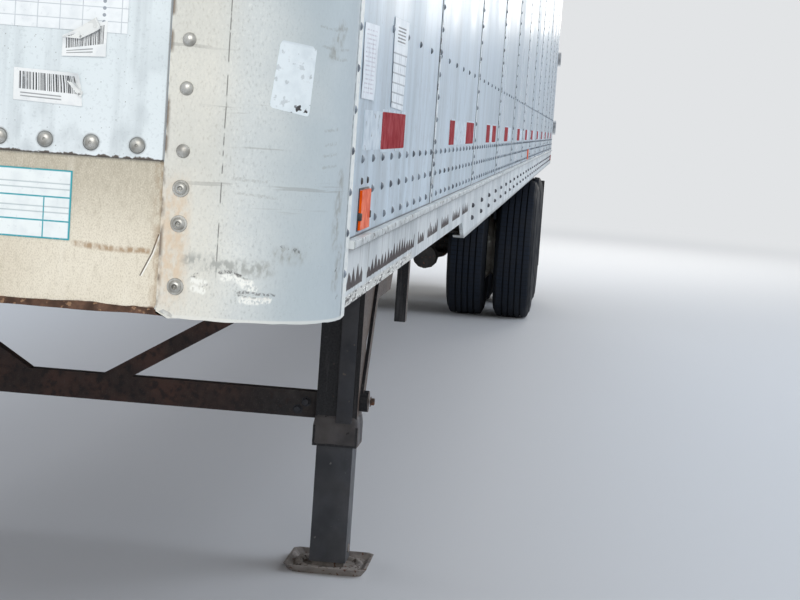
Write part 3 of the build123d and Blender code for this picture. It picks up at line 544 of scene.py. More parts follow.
@dataclass(frozen=True)
class FrontSheetFinish:
    """White front cover sheet, with dark chips along its lower edge, grey smudges and upright streaks."""

    name: str = "front_sheet_paint"
    base: Colour = srgb(230, 237, 240)
    tone: Colour = srgb(222, 231, 234)
    smudge: Colour = srgb(164, 172, 176)
    mark: Colour = srgb(84, 76, 70)
    edge: float = 1.326
    side_edge: float = 1.1098
    rivet_first: float = 1.0824
    rivet_pitch: float = 0.0487
    rivet_level: float = 1.3405

    def build(self) -> Material:
        """Makes the material.

        Returns:
            The material.
        """
        graph = Graph(self.name)
        broad = graph.noise(4.0, 5.0)
        fine = graph.noise(260.0, 3.0)
        graph.colour = graph.mix(graph.ramp(broad, 0.36, 0.66), self.base, self.tone)
        runs = graph.noise(52.0, 4.0, (1.0, 1.0, 0.05), 2.0)
        graph.lay(self.smudge, graph.ramp(runs, 0.52, 0.74, 0.0, 0.35))
        steps = graph.step("DIVIDE", graph.minus(graph.y, self.rivet_first), self.rivet_pitch)
        column = graph.absolute(graph.minus(graph.step("FRACT", graph.plus(steps, 0.5)), 0.5))
        beside = graph.times(column, self.rivet_pitch)
        above = graph.minus(graph.z, self.rivet_level)
        away = graph.vector("LENGTH", graph.flat_place(beside, above), (0.0, 0.0, 0.0)).outputs["Value"]
        halo = graph.times(graph.ramp(away, 0.0088, 0.0108, 0.45, 0.0), graph.ramp(fine, 0.3, 0.6, 0.5, 1.0))
        graph.lay(srgb(132, 134, 134), halo)
        faint = graph.ramp(graph.noise(330.0, 3.0, shift=4.4), 0.56, 0.68, 0.0, 0.22)
        graph.lay(self.smudge, faint)
        wiped = graph.ramp(graph.noise(19.0, 5.0, (1.0, 1.0, 0.6), 7.7), 0.52, 0.68, 0.0, 0.45)
        graph.lay(self.smudge, wiped, graph.ramp(graph.z, 1.33, 1.5, 1.0, 0.15))
        specks = graph.ramp(graph.cells(150.0), 0.06, 0.12, 0.6, 0.0)
        patchy = graph.ramp(graph.noise(16.0, 3.0, shift=9.0), 0.46, 0.6)
        graph.lay(self.mark, specks, patchy)
        ragged = graph.times(graph.noise(150.0, 5.0, shift=1.3), 0.011)
        height = graph.minus(graph.z, ragged)
        chipped = graph.ramp(height, self.edge - 0.0046, self.edge - 0.0030, 1.0, 0.0)
        graph.lay(self.mark, chipped)
        lip = graph.ramp(graph.z, self.edge + 0.0004, self.edge + 0.0013, 0.8, 0.0)
        graph.lay(srgb(58, 52, 48), lip)
        ended = graph.ramp(graph.absolute(graph.y), self.side_edge - 0.0006, self.side_edge, 0.0, 0.6)
        graph.lay(srgb(70, 64, 60), ended)
        graph.relief(fine, 0.0001, 0.5)
        return graph.finish(graph.ramp(broad, 0.3, 0.7, 0.34, 0.5))


@dataclass(frozen=True)
class LowerPanelFinish:
    """Pale cream weathered panel with a dense fine speckle, a smear, a scratch and rust at its lower edge."""

    name: str = "lower_panel_weathered"
    base: Colour = srgb(232, 224, 206)
    tone: Colour = srgb(210, 199, 178)
    grey: Colour = srgb(186, 178, 160)
    speck: Colour = srgb(150, 136, 114)
    pale: Colour = srgb(240, 234, 220)
    stain: Colour = srgb(158, 126, 90)
    rust: Colour = srgb(112, 74, 52)
    bottom: float = 1.170
    smear: Line = ((1.0202, 1.2348), (1.0564, 1.2323), (1.0988, 1.2324))
    scratch: Line = ((1.1095, 1.2500), (1.1035, 1.2304), (1.0923, 1.2066))

    def build(self) -> Material:
        """Makes the material.

        Returns:
            The material.
        """
        graph = Graph(self.name)
        broad = graph.noise(6.0, 6.0)
        fine = graph.noise(760.0, 3.0, (1.0, 1.0, 0.7))
        mid = graph.noise(210.0, 5.0, (1.0, 1.0, 0.45), 2.0)
        graph.colour = graph.mix(graph.ramp(broad, 0.36, 0.66, 0.0, 0.7), self.base, self.tone)
        upper = graph.ramp(graph.z, 1.225, 1.322, 0.0, 0.9)
        graph.lay(self.grey, upper, graph.ramp(mid, 0.3, 0.6, 0.82, 1.0))
        graph.lay(self.speck, graph.ramp(fine, 0.46, 0.7, 0.0, 0.3))
        graph.lay(self.pale, graph.ramp(fine, 0.34, 0.46, 0.25, 0.0))
        graph.lay(self.speck, graph.ramp(mid, 0.5, 0.72, 0.0, 0.16))
        runs = graph.noise(60.0, 4.0, (1.0, 1.0, 0.08), 6.0)
        graph.lay(self.pale, graph.ramp(runs, 0.56, 0.74, 0.0, 0.3))
        wander = graph.vector("SCALE", graph.cloud(60.0), (0.0, 0.0, 0.0), 0.004).outputs[0]
        flat = graph.vector("ADD", graph.flat_place(graph.y, graph.z), wander).outputs[0]
        smear = graph.stroke(flat, self.smear, 0.0008, 0.0040)
        graph.lay(self.stain, smear, graph.ramp(mid, 0.34, 0.56, 0.2, 0.8))
        scratch = graph.stroke(graph.flat_place(graph.y, graph.z), self.scratch, 0.0005, 0.0004)
        graph.lay(srgb(72, 60, 50), scratch, 0.9)
        beside = [(across + 0.0016, up) for across, up in self.scratch]
        lighter = graph.stroke(graph.flat_place(graph.y, graph.z), beside, 0.0005, 0.0004)
        graph.lay(srgb(248, 246, 240), lighter, 0.8)
        seam = graph.ramp(graph.absolute(graph.y), 1.098, 1.112, 0.0, 0.5)
        graph.lay(self.stain, seam, graph.ramp(mid, 0.4, 0.6))
        wavy = graph.plus(graph.z, graph.times(graph.noise(40.0, 6.0, shift=3.0), 0.016))
        rusted = graph.ramp(wavy, self.bottom + 0.0095, self.bottom + 0.0125, 1.0, 0.0)
        spots = graph.ramp(graph.noise(170.0, 5.0, shift=5.0), 0.42, 0.60)
        rusty = graph.mix(spots, self.rust, srgb(66, 46, 38))
        graph.lay(rusty, rusted)
        graph.relief(graph.plus(fine, mid), 0.0004, 0.5)
        return graph.finish(graph.ramp(fine, 0.3, 0.7, 0.5, 0.72))


@dataclass(frozen=True)
class PostFinish:
    """Bare weathered aluminium of the corner posts, finely mottled and scratched, stained beside the seam, and
    bluer round the bend as painted shade and sky reflection.
    """

    name: str = "corner_post_aluminium"
    base: Colour = srgb(218, 220, 216)
    tone: Colour = srgb(196, 201, 201)
    warm: Colour = srgb(214, 184, 148)
    speck: Colour = srgb(134, 134, 130)
    mark: Colour = srgb(62, 60, 58)
    bright: Colour = srgb(238, 239, 234)
    # The blue-grey of the rounding: painted shade and sky reflection.
    sky_shade: Colour = srgb(178, 190, 196)
    bend_y: float = 1.175
    bend_x: float = 7.2025
    skin_radius: float = 0.1141
    hem_x: float = 7.1585
    stain_y: Tuple[float, float] = (1.112, 1.140)
    stain_z: Tuple[float, float] = (1.185, 1.300)
    dark_marks: Tuple[Line, ...] = (
        ((0.0640, 1.2462), (0.0676, 1.2456)),
        ((0.0710, 1.2445), (0.0722, 1.2444)),
        ((0.0790, 1.2432), (0.0812, 1.2428)),
        ((0.0835, 1.2415), (0.0852, 1.2408)),
        ((0.0230, 1.1940), (0.0300, 1.1925)),
        ((0.0330, 1.1912), (0.0400, 1.1920)),
        ((0.0440, 1.1905), (0.0560, 1.1930)),
        ((0.0010, 1.2160), (0.0120, 1.2185), (0.0230, 1.2140)),
        ((-0.0270, 1.2105), (-0.0200, 1.2125)),
        ((0.0040, 1.2158), (0.0170, 1.2168), (0.0250, 1.2118), (0.0345, 1.2098)),
        ((-0.0290, 1.2088), (-0.0240, 1.2096)),
        ((-0.0150, 1.2010), (-0.0115, 1.2020)),
        ((0.0180, 1.1975), (0.0450, 1.1962), (0.0600, 1.1950)),
        ((0.1560, 1.1900), (0.1600, 1.1935)),
        ((0.1480, 1.2200), (0.1520, 1.2230)),
    )
    faint_marks: Tuple[Line, ...] = (
        ((0.0090, 1.3135), (0.0436, 1.3120)),
        ((0.0120, 1.2990), (0.0560, 1.2965)),
        ((0.0990, 1.4560), (0.1200, 1.4530), (0.1475, 1.4550)),
        ((0.1110, 1.4460), (0.1290, 1.4430), (0.1460, 1.4450)),
        ((0.0960, 1.4760), (0.1180, 1.4740), (0.1400, 1.4770)),
        ((0.1120, 1.3300), (0.1330, 1.3330)),
        ((0.1110, 1.3420), (0.1330, 1.3445)),
        ((0.1120, 1.3540), (0.1320, 1.3560)),
        ((0.1110, 1.3680), (0.1330, 1.3710)),
    )
    bright_marks: Tuple[Line, ...] = (
        ((0.0050, 1.2110), (0.0160, 1.2125), (0.0230, 1.2080), (0.0340, 1.2070)),
        ((0.0260, 1.2035), (0.0380, 1.2010)),
        ((-0.0260, 1.2065), (-0.0140, 1.2040)),
        ((-0.0240, 1.1980), (-0.0160, 1.1960)),
        ((0.0260, 1.1895), (0.0420, 1.1885), (0.0540, 1.1900)),
    )

    shade: Colour = srgb(150, 152, 148)
    shades: Tuple[Line, ...] = (
        ((-0.0300, 1.2260), (0.0100, 1.2235), (0.0500, 1.2215)),
        ((0.0640, 1.2380), (0.0860, 1.2360)),
        ((0.1420, 1.2500), (0.1480, 1.3200)),
        ((0.1500, 1.2060), (0.1600, 1.2400)),
        ((0.1180, 1.4500), (0.1300, 1.4760)),
    )

    def around(self, graph: Graph) -> Socket:
        """The distance round the post's skin from the bend line, rearwards.

        Args:
            graph: The material's node tree.

        Returns:
            The distance in metres, negative on the front flat.
        """
        side = graph.absolute(graph.y)
        out = graph.minus(side, self.bend_y)
        ahead = graph.minus(graph.x, self.bend_x)
        flat = graph.step("MINIMUM", out, 0.0)
        turn = graph.step("ARCTAN2", graph.step("MAXIMUM", out, 0.0), graph.step("MAXIMUM", ahead, 0.0))
        arc = graph.times(turn, self.skin_radius)
        flange = graph.step("MAXIMUM", graph.times(ahead, -1.0), 0.0)
        return graph.plus(flat, arc, flange)

    def build(self) -> Material:
        """Makes the material.

        Returns:
            The material.
        """
        graph = Graph(self.name)
        side = graph.absolute(graph.y)
        left = graph.ramp(graph.y, 0.0, 0.1)
        broad = graph.noise(7.0, 6.0)
        fine = graph.noise(480.0, 4.0, (1.0, 1.0, 0.7))
        mid = graph.noise(190.0, 5.0, (1.0, 1.0, 0.6), 4.0)
        graph.colour = graph.mix(graph.ramp(broad, 0.34, 0.68), self.base, self.tone)
        graph.lay(self.tone, graph.ramp(fine, 0.46, 0.66, 0.0, 0.5))
        grain = graph.noise(420.0, 4.0, (1.0, 1.0, 0.62), 2.4)
        graph.lay(self.bright, graph.ramp(mid, 0.56, 0.72, 0.0, 0.16))
        graph.lay(self.bright, graph.ramp(grain, 0.54, 0.72, 0.0, 0.26))
        graph.lay(self.speck, graph.ramp(grain, 0.28, 0.46, 0.34, 0.0))
        # Bluer as the post turns to the side: painted shade and sky reflection.
        sky_shade_share = graph.ramp(side, 1.175, 1.262, 0.0, 0.85)
        graph.lay(self.sky_shade, sky_shade_share, graph.ramp(broad, 0.3, 0.6, 0.8, 1.0))
        specks = graph.ramp(graph.cells(260.0), 0.06, 0.12, 0.6, 0.0)
        patchy = graph.ramp(graph.noise(22.0, 3.0, shift=9.0), 0.46, 0.62)
        graph.lay(self.speck, specks, patchy)
        flat = graph.ramp(side, 1.15, 1.20, 1.0, 0.0)
        graph.lay(srgb(232, 222, 200), flat, 0.3)
        across = graph.band(side, self.stain_y[0], self.stain_y[1], 0.008)
        along = graph.band(graph.z, self.stain_z[0], self.stain_z[1], 0.03)
        stain = graph.times(across, along, graph.ramp(mid, 0.3, 0.62, 0.2, 0.62))
        graph.lay(self.warm, stain)
        seam = graph.times(graph.ramp(side, 1.1125, 1.117, 0.85, 0.0), graph.ramp(side, 1.1, 1.104))
        rough_edge = graph.ramp(graph.noise(90.0, 5.0, (1.0, 1.0, 0.5), 1.0), 0.40, 0.58)
        graph.lay(srgb(104, 86, 70), seam, rough_edge)
        # The bend line is drawn as broken dark dashes down the front of the post.
        wander = graph.times(graph.noise(14.0, 3.0, (0.2, 0.2, 1.0), 2.2), 0.0016)
        bend = graph.plus(side, wander)
        line = graph.band(bend, self.bend_y - 0.0018, self.bend_y - 0.0008, 0.0005)
        dashes = graph.ramp(graph.noise(70.0, 2.0, (0.1, 0.1, 1.0), 7.0), 0.42, 0.52)
        above = graph.ramp(graph.z, 1.205, 1.225)
        line = graph.times(line, dashes, above)
        graph.lay(self.mark, line, 0.85)
        place = graph.flat_place(self.around(graph), graph.z)
        wobble = graph.vector("SCALE", graph.cloud(190.0), (0.0, 0.0, 0.0), 0.0060).outputs[0]
        place = graph.vector("ADD", place, wobble).outputs[0]
        broken = graph.ramp(grain, 0.40, 0.56)
        for points in self.shades:
            drawn = graph.stroke(place, points, 0.001, 0.012)
            graph.lay(self.shade, drawn, left, graph.ramp(mid, 0.42, 0.6, 0.15, 0.75))
        for points in self.faint_marks:
            graph.lay(self.speck, graph.stroke(place, points, 0.0004, 0.0018), left, broken, 0.34)
        for points in self.dark_marks:
            graph.lay(self.mark, graph.stroke(place, points, 0.0007, 0.0012), left, broken, 0.62)
        for points in self.bright_marks:
            drawn = graph.stroke(place, points, 0.0018, 0.003)
            graph.lay(srgb(246, 246, 240), drawn, left, graph.ramp(grain, 0.36, 0.54, 0.12, 0.78))
        scores = graph.ramp(graph.noise(26.0, 6.0, (0.25, 0.25, 6.0), 5.5), 0.64, 0.68)
        worn = graph.times(scores, graph.ramp(graph.noise(7.0, 2.0, shift=3.3), 0.54, 0.64))
        graph.lay(self.speck, worn, 0.35)
        # A lighter band along the rear flange's ridge is a painted highlight, and the darker band beside it is
        # painted shade.
        ridge_highlight = graph.band(graph.x, self.hem_x, self.hem_x + 0.0300, 0.0020)
        graph.lay(srgb(236, 238, 234), ridge_highlight, graph.ramp(mid, 0.36, 0.5, 0.3, 0.9))
        beside = graph.band(graph.x, self.hem_x + 0.0330, self.hem_x + 0.0420, 0.0030)
        beside = graph.times(beside, graph.ramp(mid, 0.4, 0.52, 0.1, 0.75))
        graph.lay(srgb(96, 100, 104), beside)
        lip = graph.ramp(graph.z, 1.1675, 1.1695, 0.9, 0.0)
        graph.lay(srgb(226, 226, 220), lip, 0.7)
        height = graph.plus(graph.times(fine, 0.3), graph.times(mid, 0.7))
        graph.relief(height, 0.0004, 0.5)
        return graph.finish(graph.ramp(mid, 0.3, 0.7, 0.42, 0.62), 0.15)


@dataclass(frozen=True)
class RailFinish:
    """Dirty pale grey bottom rail: dark teeth under its fixings that paint rust together with the rivet heads'
    shading and shadows, painted shade under the moulding, and a scraped lower strip near the nose.
    """

    name: str = "bottom_rail_paint"
    base: Colour = srgb(212, 216, 217)
    tone: Colour = srgb(192, 197, 199)
    grime: Colour = srgb(130, 130, 127)
    rust: Colour = srgb(46, 30, 31)
    scraped: Colour = srgb(206, 204, 198)
    dark: Colour = srgb(46, 42, 44)
    nose: float = 7.315
    moulding_low: float = 1.239
    tooth_base: float = 1.1880
    tooth_rise: float = 0.0215
    tooth_pitch: float = 0.0400
    clusters: Line = ((0.163, 0.353), (0.402, 1.066), (1.133, 1.256), (1.327, 1.557), (1.651, 1.852),
                      (1.962, 2.200), (2.284, 2.496))

    def teeth(self, graph: Graph, back: Socket) -> Socket:
        """The dark teeth in a row along the rail: rust stains together with the painted shading and shadows of
        rivet heads.

        Args:
            graph: The material's node tree.
            back: The distance behind the nose.

        Returns:
            The mask.
        """
        phase = graph.step("FRACT", graph.step("DIVIDE", back, self.tooth_pitch))
        tent = graph.absolute(graph.minus(graph.times(phase, 2.0), 1.0))
        pointed = graph.step("POWER", graph.minus(1.16, tent), 0.62)
        uneven = graph.ramp(graph.noise(26.0, 3.0, (1.0, 0.1, 0.1), 5.0), 0.3, 0.7, 0.6, 1.15)
        rise = graph.times(pointed, self.tooth_rise, uneven)
        height = graph.minus(graph.z, self.tooth_base)
        within = graph.ramp(graph.minus(rise, height), -0.0006, 0.0014)
        ragged = graph.times(graph.noise(150.0, 4.0, shift=4.0), 0.004)
        above = graph.ramp(graph.plus(height, ragged), 0.0014, 0.0026)
        mask = graph.times(within, above)
        where = None
        for start, end in self.clusters:
            part = graph.band(back, start, end, 0.002)
            where = part if where is None else graph.step("MAXIMUM", where, part)
        return graph.times(mask, where)

    def build(self) -> Material:
        """Makes the material.

        Returns:
            The material.
        """
        graph = Graph(self.name)
        back = graph.minus(self.nose, graph.x)
        broad = graph.noise(6.0, 5.0)
        fine = graph.noise(200.0, 4.0)
        graph.colour = graph.mix(graph.ramp(broad, 0.36, 0.66), self.base, self.tone)
        runs = graph.noise(85.0, 5.0, (1.0, 1.0, 0.05), 2.0)
        graph.lay(self.grime, graph.ramp(runs, 0.5, 0.7, 0.0, 0.55))
        # Darker just under the moulding: painted shade under its ledge.
        under = graph.ramp(graph.z, self.moulding_low - 0.010, self.moulding_low, 0.0, 0.65)
        below = graph.ramp(graph.z, self.moulding_low, self.moulding_low + 0.001, 1.0, 0.0)
        graph.lay(self.dark, under, below)
        # The teeth paint rust together with the rivet heads' shading and shadows.
        graph.lay(self.rust, self.teeth(graph, back), 0.96)
        # A dark line along the moulding's lower edge: painted shadow.
        shadow_line = graph.band(graph.z, self.moulding_low - 0.0022, self.moulding_low, 0.0006)
        graph.lay(self.dark, shadow_line, 0.8)
        rub = graph.times(graph.ramp(back, 1.0, 1.06, 1.0, 0.0), graph.ramp(graph.z, 1.1805, 1.184, 1.0, 0.0))
        graph.lay(self.scraped, rub, 0.8)
        flecks = graph.noise(75.0, 6.0, (0.5, 1.0, 3.0), 8.0)
        graph.lay(self.dark, rub, graph.ramp(flecks, 0.54, 0.6, 0.0, 0.8))
        lights = graph.ramp(graph.noise(90.0, 6.0, (0.5, 1.0, 3.0), 3.4), 0.58, 0.62)
        graph.lay(srgb(240, 240, 236), rub, lights)
        edge = graph.ramp(graph.z, 1.130, 1.142, 0.55, 0.0)
        graph.lay(self.grime, edge)
        graph.relief(fine, 0.0003, 0.6)
        graph.shader.inputs["Specular IOR Level"].default_value = 0.1
        return graph.finish(graph.ramp(broad, 0.3, 0.7, 0.5, 0.66))


@dataclass(frozen=True)
class RoofFinish:
    """Dull roof aluminium: long faint runs across it, a soft painted shade line over every bow and grime along
    both edges.
    """

    name: str = "roof_aluminium"
    base: Colour = srgb(196, 199, 202)
    tone: Colour = srgb(180, 184, 187)
    grime: Colour = srgb(138, 138, 134)
    bow_pitch: float = 0.6120
    bow_start: float = 6.7120
    edge: float = 1.262

    def build(self) -> Material:
        """Makes the material.

        Returns:
            The material.
        """
        graph = Graph(self.name)
        broad = graph.noise(2.4, 5.0, (0.6, 1.0, 1.0))
        fine = graph.noise(180.0, 4.0)
        runs = graph.noise(16.0, 4.0, (1.0, 0.07, 1.0), 3.0)
        graph.colour = graph.mix(graph.ramp(broad, 0.34, 0.68), self.base, self.tone)
        graph.lay(self.grime, graph.ramp(runs, 0.5, 0.72, 0.0, 0.35))
        steps = graph.step("DIVIDE", graph.minus(self.bow_start, graph.x), self.bow_pitch)
        beside = graph.absolute(graph.minus(graph.step("FRACT", graph.plus(steps, 0.5)), 0.5))
        # A soft darker line over every bow: painted shade.
        bow_shade = graph.ramp(beside, 0.020, 0.060, 0.30, 0.0)
        graph.lay(self.grime, bow_shade)
        side = graph.absolute(graph.y)
        dirty = graph.ramp(side, self.edge - 0.10, self.edge, 0.0, 0.5)
        graph.lay(self.grime, dirty, graph.ramp(broad, 0.3, 0.6, 0.3, 1.0))
        specks = graph.ramp(graph.cells(60.0), 0.05, 0.10, 0.5, 0.0)
        graph.lay(self.grime, specks)
        graph.relief(fine, 0.0003, 0.4)
        return graph.finish(graph.ramp(broad, 0.3, 0.7, 0.52, 0.62), 0.25)


@dataclass(frozen=True)
class LensFinish:
    """Moulded lamp lens: coloured, glossy and a little cloudy, with fine ribs inside."""

    name: str
    base: Colour
    deep: Colour

    def build(self) -> Material:
        """Makes the material.

        Returns:
            The material.
        """
        graph = Graph(self.name)
        cloud = graph.noise(60.0, 4.0)
        ribs = graph.add("ShaderNodeTexWave", wave_type="BANDS", bands_direction="X")
        ribs.inputs["Scale"].default_value = 40.0
        graph.link(graph.place, ribs.inputs["Vector"])
        graph.colour = graph.mix(graph.ramp(cloud, 0.35, 0.7), self.base, self.deep)
        graph.relief(ribs.outputs["Fac"], 0.0006, 0.35)
        graph.shader.inputs["Coat Weight"].default_value = 0.03
        graph.shader.inputs["Specular IOR Level"].default_value = 0.06
        return graph.finish(graph.ramp(cloud, 0.3, 0.7, 0.3, 0.44))


@dataclass(frozen=True)
class TyreFinish:
    """Black rubber painted darker and bluer as painted shade: lighter ribs on the tread, cut across by fine
    dark lines that paint sipes with their shade, and duller side walls.
    """

    name: str = "tyre_rubber"
    # The bluish near-black of base, rib and groove is painted shade on black rubber.
    base: Colour = srgb(8, 12, 19)
    dust: Colour = srgb(37, 43, 53)
    rib: Colour = srgb(21, 30, 43)
    groove: Colour = srgb(4, 6, 10)
    axles: Tuple[float, float] = (-4.794, -6.039)
    height: float = 0.515
    cuts: float = 96.0

    def build(self) -> Material:
        """Makes the material.

        Returns:
            The material.
        """
        graph = Graph(self.name)
        broad = graph.noise(8.0, 5.0)
        fine = graph.noise(260.0, 4.0)
        first = graph.ramp(graph.x, sum(self.axles) / 2 - 0.001, sum(self.axles) / 2 + 0.001)
        middle = graph.plus(self.axles[1], graph.times(first, self.axles[0] - self.axles[1]))
        along = graph.minus(graph.x, middle)
        above = graph.minus(graph.z, self.height)
        reach = graph.vector("LENGTH", graph.flat_place(along, above), (0.0, 0.0, 0.0)).outputs["Value"]
        turn = graph.step("DIVIDE", graph.step("ARCTAN2", above, along), 2 * math.pi)
        phase = graph.step("FRACT", graph.plus(graph.times(turn, self.cuts), 50.0))
        # Fine dark lines across the tread: sipes painted with their shade.
        sipe_shade = graph.band(phase, 0.40, 0.62, 0.05)
        tread = graph.ramp(reach, 0.5035, 0.5060)
        ribs = graph.times(tread, graph.ramp(broad, 0.3, 0.7, 0.6, 1.0))
        graph.colour = graph.mix(ribs, self.base, self.rib)
        graph.lay(self.groove, sipe_shade, tread, 0.7)
        wall = graph.ramp(reach, 0.47, 0.30, 0.12, 0.45)
        wall = graph.times(wall, graph.ramp(reach, 0.49, 0.5, 1.0, 0.0))
        graph.lay(self.dust, wall, graph.ramp(broad, 0.3, 0.7, 0.3, 1.0))
        graph.lay(self.dust, graph.ramp(fine, 0.5, 0.7, 0.0, 0.16))
        graph.relief(fine, 0.0004, 0.7)
        graph.shader.inputs["Specular IOR Level"].default_value = 0.3
        return graph.finish(graph.ramp(broad, 0.3, 0.7, 0.62, 0.82))


@dataclass(frozen=True)
class BraceFinish:
    """The legs' cross brace: red-brown rust towards the middle line, darker and greyer at its ends."""

    name: str = "rusty_brace"
    rust: Colour = srgb(84, 58, 49)
    deep: Colour = srgb(58, 44, 40)
    grey: Colour = srgb(62, 56, 54)
    soot: Colour = srgb(40, 38, 39)
    red_to: float = 0.50
    grey_from: float = 0.68

    def build(self) -> Material:
        """Makes the material.

        Returns:
            The material.
        """
        graph = Graph(self.name)
        broad = graph.noise(8.0, 6.0)
        mid = graph.noise(46.0, 6.0, shift=2.0)
        fine = graph.noise(230.0, 4.0)
        rusty = graph.mix(graph.ramp(broad, 0.36, 0.62), self.rust, self.deep)
        rusty = graph.mix(graph.ramp(mid, 0.50, 0.66, 0.0, 0.7), rusty, self.soot)
        plain = graph.mix(graph.ramp(broad, 0.36, 0.62), self.grey, self.soot)
        plain = graph.mix(graph.ramp(mid, 0.56, 0.66, 0.0, 0.6), plain, self.deep)
        side = graph.plus(graph.absolute(graph.y), graph.times(mid, 0.1))
        share = graph.ramp(side, self.red_to + 0.05, self.grey_from + 0.05, 1.0, 0.08)
        graph.colour = graph.mix(share, plain, rusty)
        graph.lay(srgb(92, 84, 76), graph.ramp(fine, 0.55, 0.72, 0.0, 0.4))
        graph.relief(fine, 0.0004, 0.7)
        return graph.finish(graph.ramp(mid, 0.3, 0.7, 0.62, 0.8))


@dataclass(frozen=True)
class LegFinish:
    """Black leg paint under road dust: near black in front, brown and dusty on the outer side faces."""

    name: str = "leg_paint"
    base: Colour = srgb(29, 29, 33)
    soot: Colour = srgb(19, 19, 23)
    brown: Colour = srgb(92, 74, 62)
    pale: Colour = srgb(104, 102, 102)

    def build(self) -> Material:
        """Makes the material.

        Returns:
            The material.
        """
        graph = Graph(self.name)
        broad = graph.noise(9.0, 5.0)
        fine = graph.noise(190.0, 5.0)
        graph.colour = graph.mix(graph.ramp(broad, 0.34, 0.68), self.base, self.soot)
        turned = self.sideways(graph)
        graph.lay(self.brown, turned, graph.ramp(broad, 0.3, 0.7, 0.45, 0.85))
        runs = graph.noise(60.0, 5.0, (1.0, 1.0, 0.08), 2.7)
        graph.lay(self.pale, graph.ramp(runs, 0.52, 0.72, 0.0, 0.35))
        chips = graph.ramp(graph.noise(70.0, 6.0, shift=5.7), 0.68, 0.72, 0.0, 0.4)
        graph.lay(srgb(78, 60, 50), chips)
        scuffs = graph.ramp(graph.noise(46.0, 6.0, (1.0, 1.0, 3.0), 8.1), 0.70, 0.74, 0.0, 0.3)
        graph.lay(srgb(96, 95, 96), scuffs)
        graph.relief(fine, 0.0004, 0.7)
        return graph.finish(graph.ramp(fine, 0.3, 0.7, 0.5, 0.75))

    def sideways(self, graph: Graph) -> Socket:
        """How far a face is turned to the side, 0 to 1.

        Args:
            graph: The material's node tree.

        Returns:
            The mask.
        """
        parts = graph.add("ShaderNodeSeparateXYZ")
        graph.link(graph.add("ShaderNodeTexCoord").outputs["Normal"], parts.inputs[0])
        return graph.ramp(graph.absolute(parts.outputs[1]), 0.5, 0.8)


